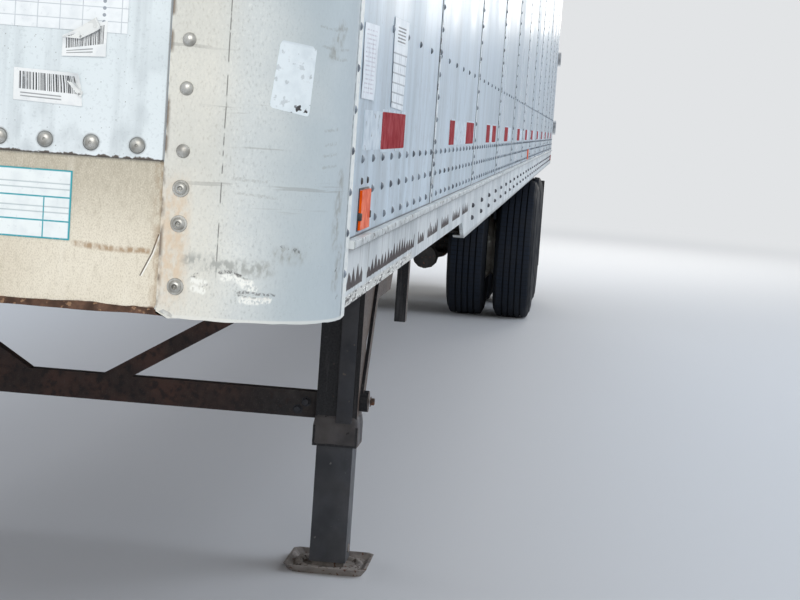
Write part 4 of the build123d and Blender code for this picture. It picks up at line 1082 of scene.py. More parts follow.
@dataclass(frozen=True)
class LabelFinish:
    """A paper or vinyl label with generic ruled marks laid out in its own flat frame."""

    name: str
    kind: LabelKind
    base: Colour
    ink: Colour
    second: Colour
    soiled: Colour = srgb(198, 206, 212)

    def ruled(self, graph: Graph, value: Socket, places: Sequence[float], width: float) -> Socket:
        """Thin lines at given places along one of the label's directions.

        Args:
            graph: The material's node tree.
            value: The coordinate, 0 to 1.
            places: Where the lines are.
            width: Half a line's width.

        Returns:
            The mask.
        """
        total = None
        for place in places:
            line = graph.band(value, place - width, place + width, width * 0.5)
            total = line if total is None else graph.step("MAXIMUM", total, line)
        return total

    def window(self, graph: Graph, across: Socket, up: Socket,
               box: Tuple[float, float, float, float]) -> Socket:
        """A rectangle on the label.

        Args:
            graph: The material's node tree.
            across: The coordinate across.
            up: The coordinate upwards.
            box: Left, bottom, right and top.

        Returns:
            The mask.
        """
        level = graph.band(across, box[0], box[2], 0.006)
        return graph.times(level, graph.band(up, box[1], box[3], 0.008))

    def marks(self, graph: Graph, across: Socket, up: Socket) -> Tuple[Socket, Socket]:
        """The ink marks and the marks in the second colour.

        Args:
            graph: The material's node tree.
            across: The coordinate across.
            up: The coordinate upwards.

        Returns:
            Two masks.
        """
        if self.kind is LabelKind.GRID:
            level = self.ruled(graph, up, (0.04, 0.09, 0.14, 0.19, 0.24, 0.29, 0.34, 0.40), 0.0016)
            upright = self.ruled(graph, across, (0.45, 0.56, 0.67, 0.78, 0.97), 0.0022)
            rows = graph.absolute(graph.minus(graph.step("FRACT", graph.times(up, 40.0)), 0.5))
            column = graph.absolute(graph.times(graph.minus(across, 0.885), 30.0))
            reach = graph.plus(graph.times(rows, rows), graph.times(column, column))
            dots = graph.ramp(reach, 0.05, 0.09, 0.8, 0.0)
            return (graph.times(graph.step("MAXIMUM", level, upright), 0.55), dots)
        if self.kind is LabelKind.BARS:
            stripes = graph.add("ShaderNodeTexNoise", noise_dimensions="1D")
            graph.link(graph.times(across, 46.0), stripes.inputs["W"])
            stripes.inputs["Scale"].default_value = 1.0
            stripes.inputs["Detail"].default_value = 2.0
            bars = graph.ramp(stripes.outputs["Fac"], 0.49, 0.51)
            ink = graph.times(bars, self.window(graph, across, up, (0.07, 0.36, 0.93, 0.9)))
            rules = self.ruled(graph, up, (0.14, 0.24), 0.018)
            return (ink, graph.times(rules, graph.band(across, 0.1, 0.7, 0.01), 0.7))
        if self.kind is LabelKind.FRAMED:
            inside = self.window(graph, across, up, (0.012, 0.022, 0.986, 0.978))
            frame_mask = graph.minus(1.0, inside)
            level = self.ruled(graph, up, (0.26, 0.605), 0.011)
            upright = graph.times(self.ruled(graph, across, (0.786,), 0.005),
                                  graph.ramp(up, 0.59, 0.61, 1.0, 0.0))
            faint = graph.times(self.ruled(graph, up, (0.38, 0.46, 0.72, 0.8), 0.009), 0.5)
            drawn = graph.step("MAXIMUM", level, upright)
            return (graph.times(faint, inside), graph.step("MAXIMUM", frame_mask, drawn))
        if self.kind is LabelKind.LADDER:
            rungs = self.ruled(graph, up, (0.06, 0.17, 0.28, 0.39, 0.50, 0.61), 0.008)
            rails = self.ruled(graph, across, (0.10, 0.42, 0.56, 0.90), 0.010)
            stripes = graph.band(graph.step("FRACT", graph.times(up, 26.0)), 0.3, 0.72, 0.04)
            dark = graph.times(self.window(graph, across, up, (0.22, 0.72, 0.8, 0.92)), stripes)
            below = graph.ramp(up, 0.62, 0.64, 1.0, 0.0)
            return (dark, graph.times(graph.step("MAXIMUM", rungs, rails), below, 0.8))
        if self.kind is LabelKind.LINED:
            rows = graph.band(graph.step("FRACT", graph.times(up, 17.0)), 0.34, 0.66, 0.08)
            broken = graph.ramp(graph.noise(210.0, 4.0, (1.0, 1.0, 0.4), 6.0), 0.44, 0.52)
            inside = self.window(graph, across, up, (0.12, 0.06, 0.86, 0.94))
            lines = graph.times(rows, broken, inside)
            folds = graph.ramp(graph.noise(90.0, 4.0, (1.0, 1.0, 0.15), 3.0), 0.56, 0.64, 0.0, 0.5)
            return (graph.times(lines, 0.55), folds)
        torn = graph.ramp(graph.noise(120.0, 6.0, shift=2.0), 0.60, 0.64)
        corner = graph.ramp(graph.minus(across, up), 0.25, 0.75, 0.0, 1.0)
        return (graph.times(torn, graph.plus(corner, 0.25)), graph.ramp(up, 0.96, 0.99, 0.0, 0.6))

    def build(self) -> Material:
        """Makes the material.

        Returns:
            The material.
        """
        graph = Graph(self.name)
        across, up = graph.own_flat()
        ink, second = self.marks(graph, across, up)
        tone = graph.noise(60.0, 4.0)
        wear = graph.noise(260.0, 5.0, shift=3.0)
        graph.colour = graph.mix(graph.ramp(tone, 0.42, 0.72, 0.0, 0.3), self.base, self.soiled)
        graph.lay(self.second, second)
        graph.lay(self.ink, ink)
        graph.lay(srgb(206, 212, 216), graph.ramp(wear, 0.62, 0.68, 0.0, 0.35))
        graph.relief(graph.plus(tone, graph.times(wear, 0.2)), 0.0006, 0.5)
        return graph.finish(graph.ramp(tone, 0.3, 0.7, 0.34, 0.52))


class Finishes:
    """Every finish by the name of its slot, made once."""

    def __init__(self) -> None:
        """Builds all the materials."""
        black = srgb(44, 42, 42)
        soot = srgb(28, 28, 30)
        dusty = srgb(92, 84, 76)
        rust = srgb(104, 64, 46)
        kinds = [
            SideSheetFinish(),
            FrontSheetFinish(),
            LowerPanelFinish(),
            PostFinish(),
            RailFinish(),
            TyreFinish(),
            LensFinish("amber_lens", srgb(242, 94, 6), srgb(218, 72, 4)),
            LensFinish("red_lens", srgb(168, 22, 24), srgb(120, 12, 16)),
            RoofFinish(),
            Weathered("galvanised_steel", srgb(158, 161, 164), srgb(128, 132, 136), 26.0, roughness=0.48,
                      metallic=0.6, chip=rust, chip_share=0.18, streak=0.2),
            Weathered("floor_wood", srgb(142, 108, 72), srgb(108, 78, 50), 5.0, grain=(0.05, 1.0, 1.0),
                      grain_scale=140.0, grain_share=0.7, roughness=0.68, chip=srgb(70, 52, 36),
                      chip_share=0.2),
            Weathered("black_steel", black, soot, 7.0, dust=dusty, dust_share=0.45, chip=rust,
                      chip_share=0.28, roughness=0.66),
            Weathered("rusty_steel", srgb(98, 66, 48), srgb(66, 44, 34), 9.0, grain_share=0.5,
                      chip=srgb(128, 84, 54), chip_share=0.35, chip_scale=40.0, roughness=0.78,
                      relief=0.0006),
            Weathered("worn_steel", srgb(58, 55, 53), srgb(40, 38, 38), 10.0, streak=0.5,
                      dust=srgb(88, 72, 60), dust_share=0.3, roughness=0.5, metallic=0.35),
            Weathered("frame_steel", srgb(206, 208, 208), srgb(182, 184, 184), 6.0, streak=0.35, chip=rust,
                      chip_share=0.22, roughness=0.42),
            Weathered("black_rubber", srgb(36, 36, 37), srgb(52, 50, 48), 9.0, dust=dusty, dust_share=0.3,
                      roughness=0.74),
            Weathered("white_paint", srgb(204, 204, 198), srgb(170, 168, 160), 8.0, streak=0.3, chip=rust,
                      chip_share=0.34, roughness=0.5),
            LegFinish(),
            Weathered("leg_strip", srgb(52, 54, 60), srgb(42, 44, 50), 14.0, dust=srgb(84, 80, 78),
                      dust_share=0.3, chip=srgb(90, 82, 76), chip_share=0.1, roughness=0.6, streak=0.2),
            Weathered("leg_tube_paint", srgb(66, 68, 74), srgb(50, 52, 57), 9.0, dust=srgb(90, 88, 88),
                      dust_share=0.3, chip=srgb(104, 102, 100), chip_share=0.1, roughness=0.55, streak=0.4),
            Weathered("rusty_shoe", srgb(138, 130, 126), srgb(94, 88, 84), 22.0, dust=srgb(158, 150, 142),
                      dust_share=0.6, chip=srgb(92, 62, 46), chip_share=0.4, roughness=0.84, relief=0.0006),
            Weathered("worn_dish", srgb(150, 142, 136), srgb(100, 94, 90), 30.0, dust=srgb(164, 156, 148),
                      dust_share=0.5, chip=srgb(64, 50, 42), chip_share=0.5, roughness=0.7, relief=0.0006),
            BraceFinish(),
            Weathered("spring_steel", srgb(56, 50, 46), srgb(38, 35, 33), 9.0, chip=rust, chip_share=0.35,
                      dust=dusty, dust_share=0.4, roughness=0.7),
            Weathered("axle_paint", srgb(50, 47, 45), srgb(34, 33, 33), 8.0, chip=rust, chip_share=0.3,
                      dust=dusty, dust_share=0.5, roughness=0.68),
            Weathered("tank_paint", black, soot, 6.0, dust=dusty, dust_share=0.35, chip=rust, chip_share=0.15,
                      roughness=0.5),
            Weathered("socket_metal", srgb(150, 152, 152), srgb(112, 112, 110), 30.0, chip=rust,
                      chip_share=0.2, roughness=0.5, metallic=0.5),
            Weathered("door_white", srgb(214, 220, 224), srgb(205, 212, 217), 3.0, streak=0.34,
                      roughness=0.36, chip=srgb(120, 112, 104), chip_share=0.1),
            Weathered("wheel_paint", srgb(196, 196, 190), srgb(160, 158, 150), 12.0, chip=rust,
                      chip_share=0.2, dust=srgb(118, 104, 88), dust_share=0.5, roughness=0.52),
            Weathered("rivet_aluminium", srgb(196, 196, 192), srgb(150, 148, 142), 90.0, roughness=0.36,
                      metallic=0.55, relief=0.0001),
            # Side rivets darker than the sheet: dirt with painted shade.
            Weathered("side_rivet_dirt_and_shade", srgb(128, 138, 148), srgb(74, 80, 88), 60.0, roughness=0.4,
                      metallic=0.2),
            Weathered("moulding_paint", srgb(198, 203, 204), srgb(170, 175, 176), 20.0,
                      chip=srgb(110, 108, 104), chip_share=0.45, chip_scale=90.0, roughness=0.5, streak=0.3),
            # The laps' lighter white is a painted highlight on the sheet's paint.
            Weathered("lap_edge_highlight", srgb(226, 233, 238), srgb(196, 206, 214), 12.0,
                      chip=srgb(104, 104, 104), chip_share=0.5, chip_scale=70.0, roughness=0.36),
            Weathered("torn_metal", srgb(206, 208, 206), srgb(150, 150, 146), 60.0, roughness=0.42,
                      metallic=0.4),
            Weathered("clip_black", srgb(38, 38, 40), srgb(60, 58, 58), 50.0, roughness=0.5, grain_share=0.4),
            Weathered("rusty_bolt", srgb(92, 72, 60), srgb(60, 50, 44), 40.0, chip=srgb(112, 74, 52),
                      chip_share=0.4, roughness=0.7),
            Weathered("leg_collar_dust", srgb(76, 73, 75), srgb(54, 52, 55), 16.0, dust=srgb(100, 94, 90),
                      dust_share=0.5, chip=srgb(40, 38, 38), chip_share=0.3, roughness=0.7, relief=0.0006),
            Weathered("wheel_nut", srgb(150, 148, 142), srgb(112, 104, 96), 40.0, roughness=0.45,
                      metallic=0.5, chip=srgb(104, 64, 46), chip_share=0.4),
            Weathered("hub_cap", srgb(176, 177, 176), srgb(142, 142, 138), 30.0, roughness=0.36, metallic=0.6,
                      dust=srgb(120, 110, 96), dust_share=0.35),
            Weathered("dark_rivet", srgb(86, 88, 94), srgb(52, 52, 58), 80.0, roughness=0.6, relief=0.0003),
            Weathered("lip_rust", srgb(104, 74, 56), srgb(64, 46, 36), 60.0, grain_share=0.6,
                      chip=srgb(140, 110, 84), chip_share=0.4, chip_scale=150.0, roughness=0.86,
                      relief=0.0010),
            # Dark rings round fixings: dirt with painted shade.
            Weathered("ring_dirt_and_shade", srgb(112, 112, 110), srgb(150, 154, 154), 90.0, roughness=0.8, shine=0.05),
            # Dark colour for the seams' gap and its painted shadow.
            Weathered("dark_gap", srgb(36, 36, 38), srgb(24, 24, 26), roughness=0.8),
            Weathered("tape_red", srgb(158, 12, 34), srgb(134, 8, 26), 50.0, roughness=0.6, shine=0.05,
                      chip=srgb(200, 120, 128), chip_share=0.02, chip_scale=120.0),
            Weathered("tape_white", srgb(206, 217, 225), srgb(186, 198, 208), 60.0, roughness=0.5, shine=0.1,
                      chip=srgb(138, 140, 142), chip_share=0.22, chip_scale=70.0),
            LabelFinish("label_grid", LabelKind.GRID, srgb(240, 244, 246), srgb(150, 160, 170),
                        srgb(120, 130, 142)),
            LabelFinish("label_bars", LabelKind.BARS, srgb(240, 242, 242), srgb(38, 40, 46),
                        srgb(70, 74, 80)),
            LabelFinish("label_framed", LabelKind.FRAMED, srgb(238, 244, 244), srgb(120, 140, 150),
                        srgb(28, 158, 172)),
            LabelFinish("label_worn", LabelKind.WORN, srgb(222, 231, 236), srgb(50, 48, 50),
                        srgb(196, 206, 212), srgb(176, 188, 196)),
            LabelFinish("label_plain", LabelKind.LINED, srgb(222, 230, 238), srgb(150, 140, 160),
                        srgb(176, 176, 188)),
            LabelFinish("label_back", LabelKind.WORN, srgb(232, 234, 232), srgb(150, 152, 152),
                        srgb(190, 194, 196)),
            LabelFinish("label_ladder", LabelKind.LADDER, srgb(228, 235, 240), srgb(66, 72, 84),
                        srgb(120, 130, 142)),
        ]
        self.made: Dict[str, Material] = {}
        for kind in kinds:
            self.made[kind.name] = kind.build()
        aliases = {
            "white_sheet": "side_sheet_paint",
            "tan_panel": "lower_panel_weathered",
            "bare_aluminium": "corner_post_aluminium",
            "rail_paint": "bottom_rail_paint",
            "tyre": "tyre_rubber",
        }
        for slot_name, finish_name in aliases.items():
            self.made[slot_name] = self.made[finish_name]

    def get(self, name: str) -> Material:
        """Returns the finish of that name."""
        return self.made[name]


class Bench:
    """The modelling moves that every sub-assembly shares."""

    def __init__(self, finishes: Finishes) -> None:
        """Keeps the finishes for the pieces made here.

        Args:
            finishes: All the materials.
        """
        self.finishes = finishes
        self.made = 0

    def deselect(self) -> None:
        """Leaves edit mode and selects nothing."""
        active = bpy.context.view_layer.objects.active
        if active is not None and active.mode != "OBJECT":
            bpy.ops.object.mode_set(mode="OBJECT")
        bpy.ops.object.select_all(action="DESELECT")

    def pick(self, piece: Piece) -> None:
        """Selects one piece alone and makes it active."""
        self.deselect()
        piece.select_set(True)
        bpy.context.view_layer.objects.active = piece

    def block(self, name: str, low: Sequence[float], high: Sequence[float], bevel: float = 0.0) -> Piece:
        """A box between two corners, with its edges rounded.

        Args:
            name: The piece's name.
            low: The lowest corner.
            high: The highest corner.
            bevel: The width of its rounded edges.

        Returns:
            The piece.
        """
        self.deselect()
        centre = [(a + b) / 2 for a, b in zip(low, high)]
        bpy.ops.mesh.primitive_cube_add(size=1.0, location=centre)
        piece = bpy.context.object
        piece.name = name
        piece.scale = [b - a for a, b in zip(low, high)]
        bpy.ops.object.transform_apply(location=True, rotation=True, scale=True)
        if bevel:
            self.bevel(piece, bevel)
        return piece

    def bevel(self, piece: Piece, width: float, segments: int = 2, angle: float = 35.0) -> None:
        """Rounds a piece's sharp edges.

        Args:
            piece: The piece.
            width: The bevel's width.
            segments: How many strips it has.
            angle: The least angle of an edge that is rounded, in degrees.
        """
        self.pick(piece)
        modifier = piece.modifiers.new("edges", "BEVEL")
        modifier.width = width
        modifier.segments = segments
        modifier.limit_method = "ANGLE"
        modifier.angle_limit = math.radians(angle)
        bpy.ops.object.modifier_apply(modifier=modifier.name)
        bpy.ops.object.shade_smooth_by_angle(angle=math.radians(angle))

    def chain(self, name: str, points: Sequence[Point]) -> Piece:
        """An open line of vertices, drawn by extruding one vertex from point to point.

        Args:
            name: The piece's name.
            points: The places in order.

        Returns:
            The piece, left in edit mode with all of it selected.
        """
        self.deselect()
        bpy.ops.mesh.primitive_plane_add(size=0.01, location=(0.0, 0.0, 0.0))
        piece = bpy.context.object
        piece.name = name
        bpy.ops.object.mode_set(mode="EDIT")
        bpy.ops.mesh.select_all(action="SELECT")
        bpy.ops.mesh.merge(type="CENTER")
        bpy.ops.transform.translate(value=points[0])
        for before, after in zip(points[:-1], points[1:]):
            step = [b - a for a, b in zip(before, after)]
            bpy.ops.mesh.extrude_vertices_move(TRANSFORM_OT_translate={"value": step})
        bpy.ops.mesh.select_all(action="SELECT")
        return piece

    def turned(self, name: str, profile: Sequence[Spot], steps: int) -> Piece:
        """A turned form about the Z axis at the origin.

        Args:
            name: The piece's name.
            profile: Radius and height of each point in order. A closed outline repeats its first point.
            steps: How many flats go round it.

        Returns:
            The piece.
        """
        piece = self.chain(name, [(radius, 0.0, height) for radius, height in profile])
        bpy.ops.mesh.spin(steps=steps, angle=2 * math.pi, center=(0.0, 0.0, 0.0), axis=(0.0, 0.0, 1.0))
        bpy.ops.mesh.select_all(action="SELECT")
        bpy.ops.mesh.remove_doubles(threshold=0.00001)
        bpy.ops.mesh.normals_make_consistent(inside=False)
        bpy.ops.object.mode_set(mode="OBJECT")
        return piece

    def facing(self, place: Point, normal: Point, spin: float = 0.0) -> Matrix:
        """The frame that stands a fixing on a surface.

        Args:
            place: The point on the surface.
            normal: The way that the surface faces.
            spin: A turn about the normal, in radians.

        Returns:
            The frame as a matrix.
        """
        turn = Vector(normal).to_track_quat("Z", "Y").to_matrix().to_4x4()
        return Matrix.Translation(Vector(place)) @ turn @ Matrix.Rotation(spin, 4, "Z")

    def stamp(self, name: str, master: Piece, frames: Sequence[Matrix], angle: float = 30.0) -> Piece:
        """One joined mesh with a copy of the master at each frame.

        Args:
            name: The new piece's name.
            master: The shape that is repeated.
            frames: Where each copy goes.
            angle: The least angle, in degrees, that is shaded as an edge.

        Returns:
            The joined piece.
        """
        source = master.data
        count = len(source.vertices)
        flat = np.empty(count * 3)
        source.vertices.foreach_get("co", flat)
        points = flat.reshape(-1, 3)
        polygons = [list(polygon.vertices) for polygon in source.polygons]
        spots: List[np.ndarray] = []
        faces: List[List[int]] = []
        for number, matrix in enumerate(frames):
            spots.append(points @ np.array(matrix.to_3x3()).T + np.array(matrix.translation))
            offset = number * count
            faces.extend([[vertex + offset for vertex in polygon] for polygon in polygons])
        mesh = bpy.data.meshes.new(name)
        mesh.from_pydata(np.concatenate(spots).tolist(), [], faces)
        piece = bpy.data.objects.new(name, mesh)
        bpy.context.scene.collection.objects.link(piece)
        self.pick(piece)
        bpy.ops.object.shade_smooth_by_angle(angle=math.radians(angle))
        return piece

    def patch(self, name: str, corners: Sequence[Spot], steps: Tuple[int, int],
              place: Callable[[float, float, float, float], Vector], metal: float) -> Piece:
        """A thin sheet laid over a surface, with its own flat coordinates.

        Args:
            name: The piece's name.
            corners: Across and up of the lower left, lower right, upper right and upper left corners.
            steps: How many strips it has across and up.
            place: Takes across, up and the flat coordinates, and returns the place in space.
            metal: The sheet's thickness.

        Returns:
            The piece.
        """
        self.deselect()
        bpy.ops.mesh.primitive_grid_add(x_subdivisions=steps[0], y_subdivisions=steps[1], size=2.0)
        piece = bpy.context.object
        piece.name = name
        for vertex in piece.data.vertices:
            u = (vertex.co.x + 1.0) / 2
            v = (vertex.co.y + 1.0) / 2
            low = [a + (b - a) * u for a, b in zip(corners[0], corners[1])]
            high = [a + (b - a) * u for a, b in zip(corners[3], corners[2])]
            across, up = [a + (b - a) * v for a, b in zip(low, high)]
            vertex.co = place(across, up, u, v)
        self.thicken(piece, metal, 1.0, 40.0)
        return piece

    def thicken(self, piece: Piece, metal: float, offset: float, angle: float) -> None:
        """Gives a sheet its thickness and shades it.

        Args:
            piece: The sheet.
            metal: How thick it becomes.
            offset: Which way it grows, from -1 to 1.
            angle: The least angle, in degrees, that is shaded as an edge.
        """
        self.pick(piece)
        modifier = piece.modifiers.new("metal", "SOLIDIFY")
        modifier.thickness = metal
        modifier.offset = offset
        bpy.ops.object.modifier_apply(modifier=modifier.name)
        bpy.ops.object.shade_smooth_by_angle(angle=math.radians(angle))

    def boxed(self, low: Sequence[float], high: Sequence[float]) -> Matrix:
        """The frame that fits a unit block between two corners."""
        size = [b - a for a, b in zip(low, high)]
        return Matrix.Translation(Vector(low)) @ Matrix.Diagonal((*size, 1.0))

    def round_long_edges(self, piece: Piece, width: float) -> None:
        """Rounds the outer edges of a unit bar that run along X.

        Args:
            piece: The bar.
            width: The bevel's width.
        """
        self.pick(piece)
        mesh = piece.data
        bpy.ops.object.mode_set(mode="EDIT")
        bpy.ops.mesh.select_mode(type="EDGE")
        bpy.ops.mesh.select_all(action="DESELECT")
        bpy.ops.object.mode_set(mode="OBJECT")
        for edge in mesh.edges:
            first, second = (mesh.vertices[vertex].co for vertex in edge.vertices)
            edge.select = abs(first.x - second.x) > 0.5
        bpy.ops.object.mode_set(mode="EDIT")
        bpy.ops.mesh.bevel(offset=width, segments=3)
        bpy.ops.mesh.select_mode(type="VERT")
        bpy.ops.object.mode_set(mode="OBJECT")

    def discard(self, *pieces: Piece) -> None:
        """Removes masters that were only used for copying."""
        for piece in pieces:
            bpy.data.objects.remove(piece)

    def hand_over(self, piece: Piece, finish: str, slot: str, body: str = Body.TRAILER.value) -> Piece:
        """Gives a piece its finish and the body that it rides on.

        Args:
            piece: The piece.
            finish: The finish's name.
            slot: The record's material slot. Not used.
            body: The body's name.

        Returns:
            The piece.
        """
        piece.data.materials.clear()
        piece.data.materials.append(self.finishes.get(finish))
        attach(piece, body)
        self.made += 1
        return piece

    def copies(self, name: str, master: Piece, frames: Sequence[Matrix], finish: str, slot: str,
               body: str = Body.TRAILER.value, angle: float = 30.0) -> Piece:
        """Copies a master to each frame as one piece and hands it over.

        Args:
            name: The new piece's name.
            master: The shape that is repeated.
            frames: Where each copy goes.
            finish: The finish's name.
            slot: The record's material slot.
            body: The body's name.
            angle: The least angle, in degrees, that is shaded as an edge.

        Returns:
            The piece.
        """
        return self.hand_over(self.stamp(name, master, frames, angle), finish, slot, body)

    def row(self, name: str, profile: Sequence[Spot], steps: int, frames: Sequence[Matrix],
            finish: str, slot: str, body: str = Body.TRAILER.value, angle: float = 30.0) -> None:
        """Turns a fixing, copies it to each frame as one piece and hands it over.

        Args:
            name: The new piece's name.
            profile: Radius and height of each point of the fixing.
            steps: How many flats go round it.
            frames: Where each copy goes.
            finish: The finish's name.
            slot: The record's material slot.
            body: The body's name.
            angle: The least angle, in degrees, that is shaded as an edge.
        """
        master = self.turned(f"master_{name}", profile, steps)
        self.copies(name, master, frames, finish, slot, body, angle)
        self.discard(master)

    def move_vertices(self, piece: Piece, shift: Callable[[Vector], Vector]) -> None:
        """Moves each vertex by what a function gives for its place.

        Args:
            piece: The piece.
            shift: Takes a place and returns its shift.
        """
        for vertex in piece.data.vertices:
            vertex.co += shift(vertex.co.copy())


@dataclass
class Layout:
    """The trailer's main places in metres, read from the frame."""

    nose: float = 0.0
    rear: float = 0.0
    half: float = 0.0
    seam_y: float = 0.0
    sheet_bottom: float = 0.0
    panel_bottom: float = 0.0
    moulding_top: float = 0.0
    sheet_top: float = 0.0
    rail_face: float = 0.0
    rail_web: float = 0.0
    web_inset: float = 0.0025
    corner_radius: float = 0.1125
    side_flange: float = 0.044
    first_seam: float = 1.284
    panel_pitch: float = 1.2192
    edge_row: float = 0.03

    def read(self) -> "Layout":
        """Fills in the places from the CAD nodes.

        Returns:
            This layout.
        """
        wall_low, wall_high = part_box("front_wall")
        panel_low, panel_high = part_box("side_panels_left")
        self.nose = wall_high.x
        self.seam_y = wall_high.y
        self.sheet_bottom = wall_low.z
        self.sheet_top = wall_high.z
        self.half = panel_high.y
        self.rear = panel_low.x
        self.moulding_top = panel_low.z
        self.rail_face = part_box("bottom_rails")[1].y
        self.rail_web = panel_high.y - self.web_inset
        self.panel_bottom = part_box("front_lower_panel")[0].z
        return self

    def back(self, distance: float) -> float:
        """The X place at a distance behind the nose."""
        return self.nose - distance

    def front_rise(self, across: float, up: float) -> float:
        """How far the front sheet swells out between its rivets.

        Args:
            across: The Y place.
            up: The height.

        Returns:
            The swell, none at the sheet's edges.
        """
        low = min(1.0, max(0.0, (up - self.sheet_bottom - self.edge_row) / 0.08))
        high = min(1.0, max(0.0, (self.sheet_top - self.edge_row - up) / 0.08))
        beside = min(1.0, max(0.0, (self.seam_y - abs(across)) / 0.06))
        swell = noise.noise(Vector((0.0, across * 2.6, up * 1.9)))
        return low * high * beside * 0.0018 * max(0.0, swell + 0.5)

    def seams(self) -> List[float]:
        """The X places of the seams between side sheets.

        Returns:
            The places from the front to the rear.
        """
        places: List[float] = []
        place = self.back(self.first_seam)
        while place > self.rear + 0.1:
            places.append(place)
            place -= self.panel_pitch
        return places

    def wheels(self) -> List[Tuple[str, Side, Vector]]:
        """The wheel sets, from the front.

        Returns:
            Each set's name, side and middle.
        """
        sets: List[Tuple[str, Side, Vector]] = []
        for axle in ("front", "rear"):
            for side in Side:
                low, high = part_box(f"tyres_{axle}_{side.word}")
                sets.append((f"{axle}_{side.word}", side, (low + high) / 2))
        return sets


@dataclass
class Assembly:
    """A group of dressing pieces, made on the bench at the trailer's places."""

    bench: Bench
    layout: Layout


@dataclass
class Fixings(Assembly):
    """The rivets and bolts that hold the sheets, with dark rings of dirt and painted shade round them."""

    post_proud: float = 0.0016
    sheet_proud: float = 0.0008
    front_pitch: float = 0.0487
    front_first: float = 1.0824
    front_level: float = 1.3405
    column_pitch: float = 0.406
    column_first: float = 1.80
    column_step: float = 0.1
    rivet_ring: float = 0.0092
    dome_ring: float = 0.0088
    bolt_ring: float = 0.0106
    post_across: float = 1.131
    bolt_levels: Tuple[float, ...] = (1.1980, 1.2632, 1.2996)
    dome_levels: Tuple[float, ...] = (1.3382, 1.4024, 1.4522)
    dome_pitch: float = 0.0505
    edge_back: float = 0.132
    edge_first: float = 1.2135
    edge_pitch: float = 0.0450
    seam_pitch: float = 0.0381
    rail_first: float = 2.669
    rail_pitch: float = 0.406
    rail_levels: Tuple[float, ...] = (1.196, 1.166)
    # The side rows: level, first place behind the nose and pitch.
    side_levels: Tuple[Tuple[float, float, float], ...] = (
        (1.338, 0.247, 0.110), (1.301, 0.370, 0.110), (1.264, 0.420, 0.110), (1.501, 0.496, 0.2046))
    top_row: Tuple[float, float] = (0.247, 0.110)
    # The turned forms: radius and height of each point.
    dimpled: Line = ((0.0, 0.0030), (0.0010, 0.0030), (0.0017, 0.0046), (0.0040, 0.0044), (0.0062, 0.0031),
                     (0.0076, 0.0012), (0.0079, -0.0006))
    domed: Line = ((0.0, 0.0052), (0.0026, 0.0049), (0.0052, 0.0037), (0.0070, 0.0019), (0.0078, -0.0006))
    socket_bolt: Line = ((0.0, 0.0040), (0.0009, 0.0038), (0.0010, 0.0016), (0.0027, 0.0016),
                         (0.0030, 0.0054), (0.0046, 0.0050), (0.0062, 0.0036), (0.0066, 0.0020),
                         (0.0084, 0.0019), (0.0090, 0.0010), (0.0091, -0.0006))
    small: Line = ((0.0, 0.0034), (0.0030, 0.0025), (0.0050, 0.0008), (0.0050, -0.0010))
    button: Line = ((0.0, 0.0066), (0.0030, 0.0060), (0.0052, 0.0042), (0.0058, 0.0020), (0.0058, -0.0006))

    def build(self) -> None:
        """Stamps every row of fixings."""
        self.front_rows()
        self.post_rows()
        for side in Side:
            self.side_rows(side)
            self.rail_rows(side)

    def rings(self, name: str, frames: Sequence[Matrix], radius: float, slot: str) -> None:
        """Dark rings round a row of fixings: dirt, with painted shade where each head meets the sheet.

        Args:
            name: The piece's name.
            frames: Where the fixings are.
            radius: The ring's outer radius.
            slot: The slot it belongs to.
        """
        profile = ((radius - 0.0026, 0.0005), (radius - 0.0008, 0.0004), (radius, -0.0004))
        self.bench.row(name, profile, 20, frames, "ring_dirt_and_shade", slot, angle=60.0)

    def front_rows(self) -> None:
        """Rivets along the front sheet's lower edge, its upper edge and its upright posts."""
        layout = self.layout
        facing = self.bench.facing
        face = layout.nose + self.sheet_proud
        top = layout.sheet_top - layout.edge_row
        frames: List[Matrix] = []
        for number in range(int(2 * self.front_first / self.front_pitch) + 1):
            across = self.front_first - number * self.front_pitch
            frames.append(facing((face, across, self.front_level), AHEAD, number * 1.7))
            frames.append(facing((face, across, top), AHEAD, number * 1.3))
        for column in range(-2, 3):
            across = column * self.column_pitch
            for number in range(23):
                level = self.column_first + number * self.column_step
                if level < layout.sheet_top - 0.06:
                    frames.append(facing((face + layout.front_rise(across, level), across, level), AHEAD))
        slot = "white_sheet"
        self.bench.row("front_sheet_rivets", self.dimpled, 20, frames, "rivet_aluminium", slot, angle=55.0)
        self.rings("front_rivet_rings", frames, self.rivet_ring, slot)

    def post_rows(self) -> None:
        """Rivets and bolts up the front flat of each corner post, and rivets down its side flange."""
        layout = self.layout
        facing = self.bench.facing
        face = layout.nose + self.post_proud
        levels = list(self.dome_levels)
        while levels[-1] < layout.sheet_top - 0.08:
            levels.append(levels[-1] + self.dome_pitch)
        domes: List[Matrix] = []
        bolts: List[Matrix] = []
        edges: List[Matrix] = []
        for side in Side:
            across = side.value * self.post_across
            bolts += [facing((face, across, level), AHEAD, level * 50) for level in self.bolt_levels]
            domes += [facing((face, across, level), AHEAD) for level in levels]
            level = self.edge_first
            while level < layout.sheet_top - 0.02:
                place = (layout.back(self.edge_back), side.value * (layout.half + self.post_proud), level)
                edges.append(facing(place, side.out))
                level += self.edge_pitch
        slot = "bare_aluminium"
        self.bench.row("post_rivets", self.domed, 20, domes, "rivet_aluminium", slot, angle=60.0)
        self.rings("post_bolt_rings", bolts, self.bolt_ring, slot)
        self.rings("post_rivet_rings", domes, self.dome_ring, slot)
        self.bench.row("post_bolts", self.socket_bolt, 24, bolts, "rivet_aluminium", slot, angle=40.0)
        self.bench.row("post_edge_rivets", self.small, 10, edges, "side_rivet_dirt_and_shade", slot, angle=60.0)

